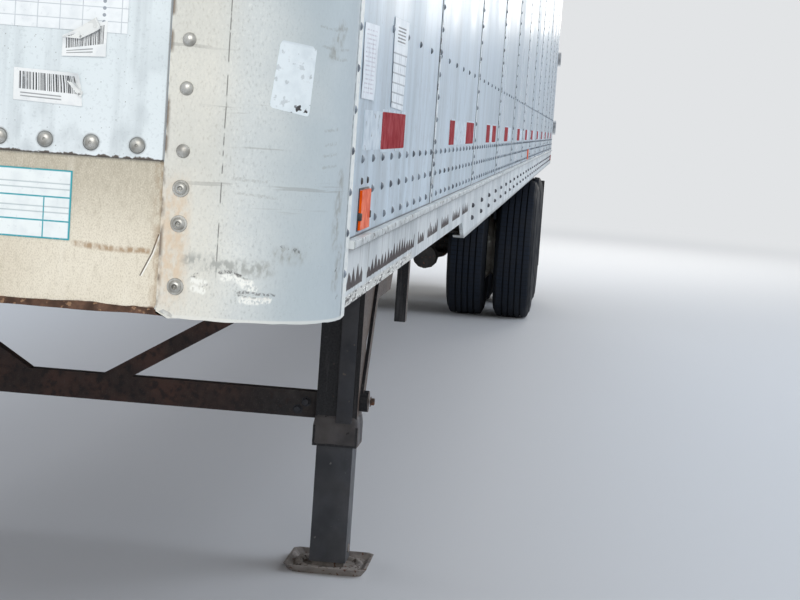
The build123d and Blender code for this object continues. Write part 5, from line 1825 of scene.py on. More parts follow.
    def side_rows(self, side: Side) -> None:
        """Rivet rows along a side's sheets and up each of its seams.

        Args:
            side: The side.
        """
        layout = self.layout
        face = side.value * layout.half
        frames: List[Matrix] = []
        for level, first, pitch in (*self.side_levels, (layout.sheet_top - layout.edge_row, *self.top_row)):
            place = layout.back(first)
            while place > layout.rear + 0.03:
                frames.append(self.bench.facing((place, face, level), side.out))
                place -= pitch
        for seam in layout.seams():
            level = layout.moulding_top + 0.03
            while level < layout.sheet_top - 0.02:
                frames.append(self.bench.facing((seam - 0.014, face + side.value * 0.0012, level), side.out))
                level += self.seam_pitch
        self.bench.row(f"side_rivets_{side.word}", self.small, 10, frames, "side_rivet_dirt_and_shade", "white_sheet",
                       angle=60.0)

    def rail_rows(self, side: Side) -> None:
        """Two rows of tall rivets along the rail's deeper part.

        Args:
            side: The side.
        """
        layout = self.layout
        frames: List[Matrix] = []
        place = layout.back(self.rail_first)
        while place > layout.rear + 0.05:
            for level in self.rail_levels:
                frames.append(self.bench.facing((place, side.value * layout.rail_web, level), side.out))
            place -= self.rail_pitch
        self.bench.row(f"rail_rivets_{side.word}", self.button, 12, frames, "dark_rivet", "rail_paint",
                       angle=50.0)


@dataclass
class Sheets(Assembly):
    """The thin cover sheets: the front sheet, the post skins with their dents, and the side sheets' laps."""

    front_proud: float = 0.0008
    front_steps: Tuple[int, int] = (90, 80)
    post_proud: float = 0.0016
    flat_steps: int = 5
    arc_steps: int = 18
    lip_drop: float = 0.0050
    dent_reach: float = 0.16
    lap_width: float = 0.0245
    lap_metal: float = 0.0014
    lap_sunk: float = 0.0004
    lap_inset: float = 0.001
    lap_back: float = 0.003
    gap_width: float = 0.0056
    lip_depth: float = 0.030
    lip_grain: float = 0.0024
    bulge_y: float = 1.030

    def build(self) -> None:
        """Makes all the sheets."""
        self.front_sheet()
        for side in Side:
            self.post_skin(side)
            self.laps(side)
        self.lower_lip()
        self.torn_corner()

    def front_sheet(self) -> None:
        """The white sheet over the front wall, a little wavy between its rivets."""
        layout = self.layout
        self.bench.deselect()
        across, up = self.front_steps
        bpy.ops.mesh.primitive_grid_add(x_subdivisions=across, y_subdivisions=up, size=1.0)
        piece = bpy.context.object
        piece.name = "front_cover_sheet"
        piece.rotation_euler = (0.0, math.pi / 2, 0.0)
        piece.scale = (layout.sheet_top - layout.sheet_bottom, 2 * (layout.seam_y - 0.001), 1.0)
        middle = (layout.sheet_top + layout.sheet_bottom) / 2
        piece.location = (layout.nose + self.front_proud * 0.5, 0.0, middle)
        bpy.ops.object.transform_apply(location=True, rotation=True, scale=True)

        def wave(place: Vector) -> Vector:
            """Swells the sheet out between its rivets."""
            return Vector((layout.front_rise(place.y, place.z), 0.0, 0.0))

        self.bench.move_vertices(piece, wave)
        self.bench.thicken(piece, self.front_proud, 0.0, 30.0)
        self.bench.hand_over(piece, "front_sheet_paint", "white_sheet")

    def post_skin(self, side: Side) -> None:
        """The rounded outer skin of a corner post, dented and worn low down.

        Args:
            side: The side.
        """
        layout = self.layout
        radius = layout.corner_radius + self.post_proud
        centre_x = layout.nose - layout.corner_radius
        centre_y = layout.half - layout.corner_radius
        low = layout.panel_bottom - self.lip_drop
        front = layout.nose + self.post_proud
        plan: List[Spot] = []
        for step in range(self.flat_steps + 1):
            plan.append((front, layout.seam_y + (centre_y - layout.seam_y) * step / self.flat_steps))
        for step in range(1, self.arc_steps + 1):
            turn = math.pi / 2 * step / self.arc_steps
            plan.append((centre_x + radius * math.cos(turn), centre_y + radius * math.sin(turn)))
        for share in (0.5, 1.0):
            plan.append((centre_x - layout.side_flange * share, layout.half + self.post_proud))
        piece = self.bench.chain(f"post_skin_{side.word}", [(x, side.value * y, low) for x, y in plan])
        levels = [low + 0.004 * step for step in range(1, 20)]
        levels += [levels[-1] + 0.02 * step for step in range(1, 22)]
        levels += [levels[-1] + (layout.sheet_top - levels[-1]) * step / 8 for step in range(1, 9)]
        height = low
        for level in levels:
            bpy.ops.mesh.extrude_region_move(TRANSFORM_OT_translate={"value": (0.0, 0.0, level - height)})
            height = level
        bpy.ops.mesh.select_all(action="SELECT")
        bpy.ops.mesh.normals_make_consistent(inside=False)
        bpy.ops.object.mode_set(mode="OBJECT")

        def dent(place: Vector) -> Vector:
            """Pushes the skin in and out a little, more near its lower edge."""
            depth = max(0.0, 1.0 - (place.z - low) / self.dent_reach)
            wave = noise.noise(Vector((place.x * 14, place.y * 14, place.z * 22)))
            fine = noise.noise(Vector((place.x * 60, place.y * 60, place.z * 90)))
            out = 0.0010 * depth * wave + 0.0003 * depth * fine
            away = Vector((place.x - centre_x, place.y - side.value * centre_y, 0.0)).normalized()
            rise = 0.0016 * fine if place.z < low + 0.001 else 0.0
            near_seam = place.y * side.value < layout.seam_y + 0.012 and place.z < low + 0.001
            return away * out + Vector((0.0, 0.0, rise + (0.0055 if near_seam else 0.0)))

        self.bench.move_vertices(piece, dent)
        self.bench.thicken(piece, self.post_proud, 0.0, 40.0)
        self.bench.hand_over(piece, "corner_post_aluminium", "bare_aluminium")

    def laps(self, side: Side) -> None:
        """The raised edge of each side sheet where it laps over the next, lighter as a painted highlight,
        behind a dark strip that paints the lap's gap and its shadow.

        Args:
            side: The side.
        """
        layout = self.layout
        low, high = layout.moulding_top + self.lap_inset, layout.sheet_top - self.lap_inset
        face = side.value * layout.half
        left = side is Side.LEFT
        turn = Matrix.Rotation(0.0 if left else math.pi, 4, "Z")
        shift = self.lap_back if left else self.lap_back + self.lap_width
        frames = [Matrix.Translation((seam - shift, face, 0.0)) @ turn for seam in layout.seams()]
        near = -self.lap_sunk
        lap = self.bench.block("master_lap", (-self.lap_width, near, low), (0.0, self.lap_metal, high), 0.0006)
        # The lap is lighter than the sheet: a painted highlight.
        self.bench.copies(f"sheet_laps_{side.word}", lap, frames, "lap_edge_highlight", "white_sheet")
        # A dark strip at each seam paints the lap's gap and its shadow.
        frames = [Matrix.Translation((seam - self.lap_back, face - 0.0001, 0.0)) for seam in layout.seams()]
        gap = self.bench.block("master_gap", (0.0, near, low), (self.gap_width, 0.0006, high), 0.0001)
        self.bench.copies(f"seam_sealant_{side.word}", gap, frames, "dark_gap", "white_sheet")
        self.bench.discard(lap, gap)

    def lower_lip(self) -> None:
        """The flaking rusty edge under the lower front panel."""
        layout = self.layout
        low = (layout.nose - self.lip_depth, -layout.seam_y, layout.panel_bottom - 0.004)
        high = (layout.nose + 0.0005, layout.seam_y + 0.02, layout.panel_bottom + 0.0035)
        piece = self.bench.block("lower_panel_lip", low, high)
        modifier = piece.modifiers.new("fine", "REMESH")
        modifier.mode = "VOXEL"
        modifier.voxel_size = self.lip_grain
        bpy.ops.object.modifier_apply(modifier=modifier.name)

        def flake(place: Vector) -> Vector:
            """Roughens the edge and swells it where it has rusted most."""
            bulge = math.exp(-((place.y - self.bulge_y) / 0.030) ** 2)
            rough = noise.noise(Vector((place.x * 120, place.y * 55, place.z * 160)))
            broad = noise.noise(Vector((3.0, place.y * 16, 1.0)))
            up = max(0.0, rough) * 0.0030 + bulge * 0.0030 * (0.6 + 0.4 * rough)
            out = 0.0012 * rough if place.x > layout.nose - 0.006 else 0.0
            return Vector((out, 0.0, up if place.z > layout.panel_bottom else broad * 0.0014))

        self.bench.move_vertices(piece, flake)
        self.bench.hand_over(piece, "lip_rust", "tan_panel")

    def torn_corner(self) -> None:
        """The small flap torn from the sheet where the lower panel meets the left post."""
        layout = self.layout
        offsets = ((0.0016, -0.002, 0.0030), (0.0036, 0.008, -0.0010), (0.0030, 0.017, -0.0046))
        corner = (layout.nose, layout.seam_y, layout.panel_bottom)
        points = [tuple(a + b for a, b in zip(corner, offset)) for offset in offsets]
        piece = self.bench.chain("torn_corner_flap", points)
        bpy.ops.mesh.extrude_region_move(TRANSFORM_OT_translate={"value": (-0.0008, 0.0010, 0.0040)})
        bpy.ops.object.mode_set(mode="OBJECT")
        modifier = piece.modifiers.new("metal", "SOLIDIFY")
        modifier.thickness = 0.0010
        bpy.ops.object.modifier_apply(modifier=modifier.name)
        self.bench.hand_over(piece, "torn_metal", "tan_panel")


@dataclass
class Markings(Assembly):
    """Reflective tapes along the sides and rear, and the plain labels on the nose and the left side."""

    tape_low: float = 1.348
    tape_high: float = 1.395
    tape_metal: float = 0.0006
    border: float = 0.0035
    label_metal: float = 0.0003
    rear_piece: float = 0.279
    rear_pitch: float = 0.2795
    # The tapes near the nose: start and end behind it, and whether the tape is red.
    near_tapes: Tuple[Tuple[float, float, bool], ...] = (
        (0.237, 0.430, False), (0.435, 0.738, True), (1.650, 1.786, True), (1.786, 2.166, False),
        (2.166, 2.440, True), (3.044, 3.225, True), (3.225, 3.369, False), (3.369, 3.590, True),
        (4.230, 4.500, True), (4.500, 4.800, False), (5.460, 5.750, True), (5.750, 6.030, False),
        (6.530, 6.800, True), (6.800, 7.010, False),
    )
    first_pair: float = 7.530
    # The nose's labels: name, finish, corners, lift, curl and the corner that curls.
    nose_labels: Tuple[Tuple, ...] = (
        ("ruled_sheet", "label_grid",
         ((0.850, 1.4560), (1.066, 1.4536), (1.066, 1.7350), (0.850, 1.7350)), 0.0004, 0.002, (0.0, 1.0)),
        ("bar_label_upper", "label_bars",
         ((0.9986, 1.4270), (1.0449, 1.4289), (1.0452, 1.4660), (0.9990, 1.4480)), 0.0010, 0.006, (0.2, 1.0)),
        ("bar_label_lower", "label_bars",
         ((0.9494, 1.3792), (1.0226, 1.3765), (1.0190, 1.4100), (0.9488, 1.4124)), 0.0004, 0.009, (1.0, 1.0)),
        ("bar_label_upper_flap", "label_back",
         ((0.9988, 1.4462), (1.0180, 1.4455), (1.0400, 1.4570), (1.0340, 1.4685)), 0.0040, 0.0050, (1.0, 1.0)),
        ("bar_label_lower_flap", "label_back",
         ((0.9990, 1.4090), (1.0205, 1.3850), (1.0235, 1.3905), (1.0070, 1.4110)), 0.0016, 0.0060, (0.5, 1.0)),
    )
    framed: Line = ((0.880, 1.2375), (1.0155, 1.2372), (1.0155, 1.3095), (0.880, 1.3098))
    side_labels: Tuple[Tuple, ...] = (
        ("side_sticker_plain", "label_plain",
         ((0.192, 1.4071), (0.319, 1.4066), (0.329, 1.4953), (0.186, 1.4918))),
        ("side_sticker_ruled", "label_ladder",
         ((0.526, 1.4023), (0.680, 1.3996), (0.700, 1.5211), (0.507, 1.5171))),
    )
    # The post sticker's corners: turn round the post in degrees, and height.
    post_label: Line = ((21.1, 1.3892), (43.6, 1.3816), (46.2, 1.4538), (25.1, 1.4586))

    def build(self) -> None:
        """Lays every tape and label."""
        for side in Side:
            self.tapes(side)
        self.rear_tapes()
        self.front_labels()
        self.side_stickers()
        self.post_sticker()

    def rows(self) -> List[Tuple[float, float, bool]]:
        """Where each tape starts and ends behind the nose, and whether it is red.

        Returns:
            The tapes from the front to the rear.
        """
        found = list(self.near_tapes)
        start = self.first_pair
        while start + 0.60 < self.layout.nose - self.layout.rear:
            found.append((start, start + 0.30, True))
            found.append((start + 0.30, start + 0.58, False))
            start += self.layout.panel_pitch
        return found

    def lay(self, name: str, red: Sequence[Matrix], white: Sequence[Matrix],
            body: str = Body.TRAILER.value) -> None:
        """Makes one red and one white piece from thin plates with rounded corners.

        Args:
            name: Their name, with braces where the colour stands.
            red: The red plates' frames.
            white: The white plates' frames.
            body: The body that they ride on.
        """
        master = self.bench.block("master_plate", (0.0, 0.0, 0.0), (1.0, 1.0, 1.0), 0.03)
        if red:
            self.bench.copies(name.format("red"), master, red, "tape_red", "red_lens", body)
        self.bench.copies(name.format("white"), master, white, "tape_white", "white_sheet", body)
        self.bench.discard(master)

    def tapes(self, side: Side) -> None:
        """Red tapes with a white edge and white tapes along one side.

        Args:
            side: The side.
        """
        layout = self.layout
        face = side.value * layout.half
        frames: Dict[bool, List[Matrix]] = {True: [], False: []}

        def plate(start: float, end: float, metal: float, spread: float) -> Matrix:
            """The frame of one tape.

            Args:
                start: Where it starts behind the nose.
                end: Where it ends.
                metal: How thick it is.
                spread: How far it reaches past the tape's upper and lower edges.

            Returns:
                The frame.
            """
            proud = face + side.value * metal
            return self.bench.boxed((layout.back(end), min(face, proud), self.tape_low - spread),
                                    (layout.back(start), max(face, proud), self.tape_high + spread))

        for start, end, is_red in self.rows():
            if is_red:
                frames[False].append(plate(start - 0.002, end + 0.002, self.tape_metal * 0.6, self.border))
            frames[is_red].append(plate(start, end, self.tape_metal * (1.3 if is_red else 1.0), 0.0))
        self.lay(f"tape_{{}}_{side.word}", frames[True], frames[False])

    def rear_tapes(self) -> None:
        """Red and white tape across the under-run guard and low on both doors, and white at the top corners."""
        table = (
            (Body.TRAILER, "under_run_guard", "guard", 0.025, 0.02),
            (Body.DOOR_LEFT, "door_left", "left", 0.06, 0.13),
            (Body.DOOR_RIGHT, "door_right", "right", 0.06, 0.13),
        )
        for body, node, name, rise, margin in table:
            low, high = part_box(node)
            level = low.z + rise
            both: Tuple[List[Matrix], List[Matrix]] = ([], [])
            across = low.y + margin
            number = 0
            while across + 0.15 < high.y - margin:
                near = (low.x - self.tape_metal, across, level)
                far = (low.x + 0.0001, min(across + self.rear_piece, high.y - margin), level + 0.05)
                both[number % 2].append(self.bench.boxed(near, far))
                across += self.rear_pitch
                number += 1
            self.lay(f"rear_tape_{{}}_{name}", both[0], both[1], body.value)
        corners: List[Matrix] = []
        low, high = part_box("rear_frame")
        top = high.z - 0.006
        for side in Side:
            outer = side.value * (self.layout.half - 0.012)
            for reach_y, reach_z in ((0.30, 0.045), (0.045, 0.30)):
                inner = outer - side.value * reach_y
                corners.append(self.bench.boxed((low.x - self.tape_metal, min(outer, inner), top - reach_z),
                                                (low.x + 0.0001, max(outer, inner), top)))
        self.lay("rear_corner_tape", (), corners)

    def front_labels(self) -> None:
        """The ruled sheet, the two bar labels and the framed label on the nose."""
        layout = self.layout

        def on_sheet(lift: float, curl: float, corner: Tuple[float, float]) -> Callable[..., Vector]:
            """Lays a label on the front sheet and curls one of its corners out.

            Args:
                lift: How far it stands off the sheet.
                curl: How far the corner curls out.
                corner: Which corner curls, as 0 or 1 across and up.

            Returns:
                The placing function.
            """
            def place(across: float, up: float, u: float, v: float) -> Vector:
                """Where a point of the label lies."""
                rise = layout.front_rise(across, up) + 0.0009
                apart = math.hypot(u - corner[0], v - corner[1])
                out = curl * max(0.0, 1.0 - apart / 0.5) ** 2
                wrinkle = 0.0003 * noise.noise(Vector((0.0, across * 60, up * 60)))
                return Vector((layout.nose + rise + lift + out + wrinkle, across, up))
            return place

        for name, finish, corners, lift, curl, corner in self.nose_labels:
            piece = self.bench.patch(name, corners, (14, 14), on_sheet(lift, curl, corner), self.label_metal)
            self.bench.hand_over(piece, finish, "white_sheet")
        low_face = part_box("front_lower_panel")[1].x

        def on_panel(across: float, up: float, *_: float) -> Vector:
            """Where a point of the framed label lies."""
            wrinkle = 0.0002 * noise.noise(Vector((0.0, across * 50, up * 50)))
            return Vector((low_face + 0.0006 + wrinkle, across, up))

        piece = self.bench.patch("framed_label", self.framed, (10, 8), on_panel, self.label_metal)
        self.bench.hand_over(piece, "label_framed", "tan_panel")

    def side_stickers(self) -> None:
        """The wrinkled sticker and the ruled sticker near the nose on the left side."""
        layout = self.layout

        def on_side(across: float, up: float, *_: float) -> Vector:
            """Where a point of a side sticker lies."""
            wrinkle = 0.0006 * noise.noise(Vector((across * 40, 0.0, up * 55)))
            return Vector((layout.back(across), layout.half + 0.0009 + wrinkle, up))

        for name, finish, corners in self.side_labels:
            piece = self.bench.patch(name, corners, (12, 12), on_side, self.label_metal)
            self.bench.hand_over(piece, finish, "white_sheet")

    def post_sticker(self) -> None:
        """The worn sticker that wraps round the left corner post."""
        layout = self.layout
        radius = layout.corner_radius + 0.0024
        centre = (layout.nose - layout.corner_radius, layout.half - layout.corner_radius)

        def on_post(across: float, up: float, u: float, v: float) -> Vector:
            """Where a point of the sticker lies, its first number being an angle in degrees."""
            side_reach = max(abs(u - 0.5) - 0.42, 0.0)
            up_reach = max(abs(v - 0.5) - 0.44, 0.0)
            apart = math.hypot(side_reach / 0.08, up_reach / 0.06)
            if side_reach > 0.0 and up_reach > 0.0 and apart > 1.0:
                pull = 1.0 - 1.0 / apart
                across -= math.copysign(side_reach * pull * 22.0, u - 0.5)
                up -= math.copysign(up_reach * pull * 0.072, v - 0.5)
            turn = math.radians(across)
            reach = radius + 0.0003 * noise.noise(Vector((across * 2.0, up * 70, 0.0)))
            return Vector((centre[0] + reach * math.cos(turn), centre[1] + reach * math.sin(turn), up))

        piece = self.bench.patch("post_sticker", self.post_label, (14, 14), on_post, self.label_metal)
        self.bench.hand_over(piece, "label_worn", "bare_aluminium")


@dataclass
class SideTrim(Assembly):
    """The moulding's rounded rib, and the gasket, clips and screws of the front marker lamps."""

    rib_levels: Tuple[float, float] = (1.2402, 1.2480)
    rib_proud: float = 0.0012
    rib_sunk: float = 0.0005
    rib_first: float = 0.1575
    dent: Tuple[float, float] = (1.930, 1.954)
    marker_back: float = 0.285
    marker_level: float = 1.2795
    marker_size: Tuple[float, float] = (0.093, 0.046)
    gasket_proud: float = 0.0012
    gasket_rim: float = 0.002
    screw: Line = ((0.0, 0.0022), (0.0030, 0.0019), (0.0042, 0.0006), (0.0043, -0.0008))

    def build(self) -> None:
        """Makes the trim of both sides."""
        for side in Side:
            self.rib(side)
            self.lamp_fittings(side)

    def rib(self, side: Side) -> None:
        """A rounded rib along the moulding, knocked flat at one dent on the left.

        Args:
            side: The side.
        """
        layout = self.layout
        face = side.value * layout.rail_face
        runs = [(self.rib_first, layout.nose - layout.rear - 0.08)]
        if side is Side.LEFT:
            runs = [(self.rib_first, self.dent[0]), (self.dent[1], runs[0][1])]
        inner, outer = face - side.value * self.rib_sunk, face + side.value * self.rib_proud
        low, high = self.rib_levels
        frames = [self.bench.boxed((layout.back(end), min(inner, outer), low),
                                   (layout.back(start), max(inner, outer), high)) for start, end in runs]
        master = self.bench.block("master_rib", (0.0, 0.0, 0.0), (1.0, 1.0, 1.0))
        self.bench.round_long_edges(master, 0.30)
        self.bench.copies(f"moulding_ribs_{side.word}", master, frames, "moulding_paint", "rail_paint",
                          angle=50.0)
        self.bench.discard(master)

    def lamp_fittings(self, side: Side) -> None:
        """A gasket, two clips and two screws at the front marker lamp.

        Args:
            side: The side.
        """
        face = side.value * self.layout.half
        middle = self.layout.back(self.marker_back)
        level = self.marker_level
        long, tall = (size / 2 for size in self.marker_size)
        proud = face + side.value * self.gasket_proud
        rim = self.gasket_rim
        gasket = self.bench.block(f"marker_gasket_{side.word}",
                                  (middle - long - rim, min(face, proud), level - tall - rim),
                                  (middle + long + rim, max(face, proud), level + tall + rim), 0.0005)
        self.bench.hand_over(gasket, "clip_black", "black_rubber")
        clip = self.bench.block("master_clip", (-0.0022, 0.0, -0.0045), (0.0022, 0.0054, 0.0045), 0.0012)
        turn = Matrix.Rotation(0.0 if side is Side.LEFT else math.pi, 4, "Z")
        frames = [Matrix.Translation((middle + shift, face, level - 0.008)) @ turn for shift in (-long, long)]
        self.bench.copies(f"marker_clips_{side.word}", clip, frames, "clip_black", "black_rubber")
        self.bench.discard(clip)
        frames = [self.bench.facing((middle + shift, face, level + tall + 0.010), side.out)
                  for shift in (-0.030, 0.030)]
        self.bench.row(f"marker_screws_{side.word}", self.screw, 12, frames, "clip_black", "amber_lens",
                       angle=50.0)


@dataclass
class Tyres(Assembly):
    """Eight ribbed tyres with worn shoulders, two on each wheel set."""

    spread: float = 0.1715
    radius: float = 0.5145
    crown: float = 0.30
    groove_depth: float = 0.011
    groove_width: float = 0.011
    grooves: Tuple[float, ...] = (-0.066, -0.022, 0.022, 0.066)
    steps: int = 96
    shoulder_radius: float = 0.500
    shoulder_across: float = 0.095
    lug_depth: float = 0.0035
    side_profile: Line = (
        (0.3005, 0.1040), (0.3060, 0.1120), (0.3180, 0.1190), (0.3260, 0.1215), (0.3300, 0.1270),
        (0.3400, 0.1285), (0.3440, 0.1265), (0.3650, 0.1370), (0.4000, 0.1440), (0.4360, 0.1415),
        (0.4560, 0.1350), (0.4600, 0.1370), (0.4680, 0.1350), (0.4720, 0.1305), (0.4850, 0.1255),
        (0.4960, 0.1215), (0.5060, 0.1150), (0.5105, 0.1080),
    )

    def profile(self) -> List[Spot]:
        """The tyre's closed outline: one sidewall, the ribbed tread, the other sidewall.

        Returns:
            Radius and place across of each point.
        """
        points = [(radius, -across) for radius, across in self.side_profile]
        half = self.groove_width / 2
        for groove in self.grooves:
            crown = self.radius - self.crown * groove ** 2
            for share, depth in ((-1.0, 0.0), (-0.6, self.groove_depth), (0.6, self.groove_depth), (1.0, 0.0)):
                points.append((crown - depth, groove + half * share))
        points += reversed(self.side_profile)
        points.append(points[0])
        return points

    def build(self) -> None:
        """Turns one tyre, cuts its shoulders and stands a copy at each place."""
        master = self.bench.turned("master_tyre", self.profile(), self.steps)

        def shoulder(place: Vector) -> Vector:
            """Lowers every other step of the shoulder ribs, as worn lugs."""
            reach = math.hypot(place.x, place.y)
            turn = round(math.atan2(place.y, place.x) / (2 * math.pi) * self.steps)
            if reach > self.shoulder_radius and abs(place.z) > self.shoulder_across and turn % 2:
                return Vector((place.x, place.y, 0.0)).normalized() * -self.lug_depth
            return Vector((0.0, 0.0, 0.0))

        self.bench.move_vertices(master, shoulder)
        across = Matrix.Rotation(math.radians(-90), 4, "X")
        for label, side, middle in self.layout.wheels():
            for place, way in (("outer", side.value), ("inner", -side.value)):
                stand = Matrix.Translation((middle.x, middle.y + way * self.spread, middle.z)) @ across
                piece = self.bench.copies(f"tyre_{label}_{place}", master, [stand], "tyre_rubber", "tyre",
                                          f"wheels_{label}", 24.0)
                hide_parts(f"tyres_{label}")
        self.bench.discard(master)


@dataclass
class WheelFittings(Assembly):
    """The nuts, hub caps, cap screws and rim edges on each wheel set."""

    nut_circle: float = 0.1425
    nut_count: int = 10
    flange_out: float = 0.0145
    hub_out: float = 0.070
    screw_circle: float = 0.057
    screw_count: int = 6
    rim_out: float = 0.2795
    nut: Line = ((0.0, 0.034), (0.0095, 0.034), (0.0100, 0.022), (0.0165, 0.022), (0.0195, 0.018),
                 (0.0195, 0.002), (0.0235, 0.001), (0.0240, -0.006))
    cap: Line = ((0.0, 0.018), (0.020, 0.0175), (0.034, 0.014), (0.046, 0.010), (0.050, 0.006), (0.064, 0.005),
                 (0.066, 0.002), (0.066, -0.004))
    screw: Line = ((0.0, 0.0065), (0.0040, 0.0065), (0.0055, 0.0050), (0.0058, -0.002))
    band: Line = ((0.2855, -0.004), (0.2870, 0.0), (0.2885, 0.006), (0.2930, 0.008), (0.2960, 0.005),
                  (0.2965, -0.004))

    def build(self) -> None:
        """Stamps the fittings of every wheel set."""
        for label, side, middle in self.layout.wheels():
            self.dress(label, side, middle)

    def dress(self, label: str, side: Side, middle: Vector) -> None:
        """Puts the fittings on one wheel set.

        Args:
            label: The wheel set's name.
            side: The side.
            middle: The set's middle.
        """
        body = f"wheels_{label}"

        def ring(count: int, radius: float, out: float, start: float = 0.0) -> List[Matrix]:
            """Frames round the axle at one radius.

            Args:
                count: How many there are.
                radius: The circle's radius.
                out: How far out they stand from the middle.
                start: The first one's turn.

            Returns:
                The frames.
            """
            frames: List[Matrix] = []
            for number in range(count):
                turn = start + 2 * math.pi * number / count
                place = (middle.x + radius * math.cos(turn), middle.y + side.value * out,
                         middle.z + radius * math.sin(turn))
                frames.append(self.bench.facing(place, side.out, turn))
            return frames

        row = self.bench.row
        nuts = ring(self.nut_count, self.nut_circle, self.flange_out, 0.3)
        row(f"wheel_nuts_{label}", self.nut, 6, nuts, "wheel_nut", "wheel_paint", body)
        row(f"hub_cap_{label}", self.cap, 40, ring(1, 0.0, self.hub_out), "hub_cap", "wheel_paint", body)
        screws = ring(self.screw_count, self.screw_circle, self.hub_out + 0.005)
        row(f"hub_cap_screws_{label}", self.screw, 6, screws, "wheel_nut", "wheel_paint", body)
        edge = ring(1, 0.0, self.rim_out)
        row(f"rim_edge_{label}", self.band, 72, edge, "wheel_paint", "wheel_paint", body, 40.0)


@dataclass
class Legs(Assembly):
    """The landing legs' strips, swaged collars, weld beads and bolts, and the worn dishes in the shoes."""

    spread: float = 0.861
    half_outer: float = 0.0635
    collar_low: float = 0.387
    collar_high: float = 0.450
    collar_half: float = 0.069
    collar_top: float = 0.486
    top: float = 1.138
    strip_shift: float = 0.025
    strip_half: float = 0.0245
    knob_level: float = 0.525
    # Across and height of the brace's bolts; back and height of the plates' bolts.
    brace_places: Line = ((0.760, 0.512), (0.735, 0.487))
    plate_places: Line = ((0.20, 1.06), (0.34, 1.06), (0.52, 1.04), (0.66, 0.90), (0.26, 0.90))
    bead: Line = ((0.0, 0.0036), (0.0026, 0.0030), (0.0042, 0.0008), (0.0040, -0.0012))
    ring: Line = ((0.1120, 0.0070), (0.1085, 0.0135), (0.1010, 0.0180), (0.0915, 0.0170), (0.0850, 0.0110),
                  (0.0835, 0.0070))
    bolt: Line = ((0.0, 0.0125), (0.0095, 0.0125), (0.0118, 0.0105), (0.0118, 0.0015), (0.0165, 0.0012),
                  (0.0168, -0.0010))

    def build(self) -> None:
        """Makes the details of both legs and of the brace between them."""
        low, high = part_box("leg_tubes")
        self.place = (low.x + high.x) / 2
        for side in Side:
            self.strip(side)
            self.collar(side)
            self.welds(side)
            self.dish(side)
        self.bolts()

    def strip(self, side: Side) -> None:
        """The paler strip up the front of a leg.

        Args:
            side: The side.
        """
        front = self.place + self.half_outer + 0.010
        middle = side.value * (self.spread + self.strip_shift)
        low = (front - 0.002, middle - self.strip_half, self.collar_high + 0.0115)
        high = (front + 0.0012, middle + self.strip_half, self.top - 0.013)
        piece = self.bench.block(f"leg_strip_{side.word}", low, high, 0.001)
        self.bench.hand_over(piece, "leg_strip", "leg_paint")

    def collar(self, side: Side) -> None:
        """The swaged, uneven collar at the bottom of a leg housing.

        Args:
            side: The side.
        """
        middle = side.value * self.spread
        half = self.collar_half + 0.0016
        low = (self.place - half, middle - half, self.collar_low - 0.0010)
        high = (self.place + half, middle + half, self.collar_top)
        piece = self.bench.block(f"leg_collar_{side.word}", low, high, 0.011)
        self.bench.pick(piece)
        bpy.ops.object.mode_set(mode="EDIT")
        bpy.ops.mesh.select_all(action="SELECT")
        bpy.ops.mesh.subdivide(number_cuts=9)
        bpy.ops.object.mode_set(mode="OBJECT")

        def uneven(place: Vector) -> Vector:
            """Draws the top in to the housing, waists the collar's middle and roughens it."""
            flat = Vector((place.x - self.place, place.y - middle, 0.0))
            reach = max(abs(flat.x), abs(flat.y))
            level = (place.z - self.collar_high) / (self.collar_top - self.collar_high)
            drawn_in = -(self.collar_half - self.half_outer - 0.0004) * min(1.0, max(0.0, level)) ** 0.7
            waist = -0.0007 * math.sin(math.pi * min(1.0, max(0.0, (place.z - self.collar_low) / 0.063)))
            rough = 0.0009 * noise.noise(Vector((place.x * 45, place.y * 45, place.z * 60)))
            return flat * ((drawn_in + waist + rough) / reach) if reach > 0.04 else Vector((0.0, 0.0, 0.0))

        self.bench.move_vertices(piece, uneven)
        self.bench.pick(piece)
        bpy.ops.object.shade_smooth_by_angle(angle=math.radians(40))
        self.bench.hand_over(piece, "leg_collar_dust", "leg_paint")

    def welds(self, side: Side) -> None:
        """Weld beads round the brace's ends, under the mounting plate and over the collar.

        Args:
            side: The side.
        """
        facing = self.bench.facing
        low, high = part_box("leg_cross_brace")
        way = side.value
        inner = way * (self.spread - self.half_outer)
        face = self.place + self.half_outer
        frames = [facing((high.x + 0.0005, inner, low.z + 0.004 + number * 0.0052), (1.0, -0.6 * way, 0.0))
                  for number in range(15)]
        frames += [facing((face, inner + way * number * 0.0072, self.top - 0.014), (0.8, 0.0, -0.6))
                   for number in range(18)]
        first = self.spread + 0.003
        frames += [facing((face + 0.009, way * (first + number * 0.0070), self.collar_top - 0.020),
                          (0.7, 0.0, -0.7)) for number in range(7)]
        self.bench.row(f"leg_welds_{side.word}", self.bead, 8, frames, "leg_strip", "leg_paint", angle=60.0)

    def dish(self, side: Side) -> None:
        """The worn ring pressed into the shoe round the leg.

        Args:
            side: The side.
        """
        master = self.bench.turned("master_dish", self.ring, 48)

        def uneven(place: Vector) -> Vector:
            """Makes the ring oval and uneven."""
            rough = noise.noise(Vector((place.x * 26, place.y * 26, side.value * 3.0)))
            return Vector((-place.x * 0.06, -place.y * 0.01, 0.0020 * rough if place.z > 0.009 else 0.0))

        self.bench.move_vertices(master, uneven)
        frames = [Matrix.Translation((self.place, side.value * self.spread, 0.0))]
        self.bench.copies(f"shoe_dish_{side.word}", master, frames, "worn_dish", "rusty_shoe", angle=60.0)
        self.bench.discard(master)

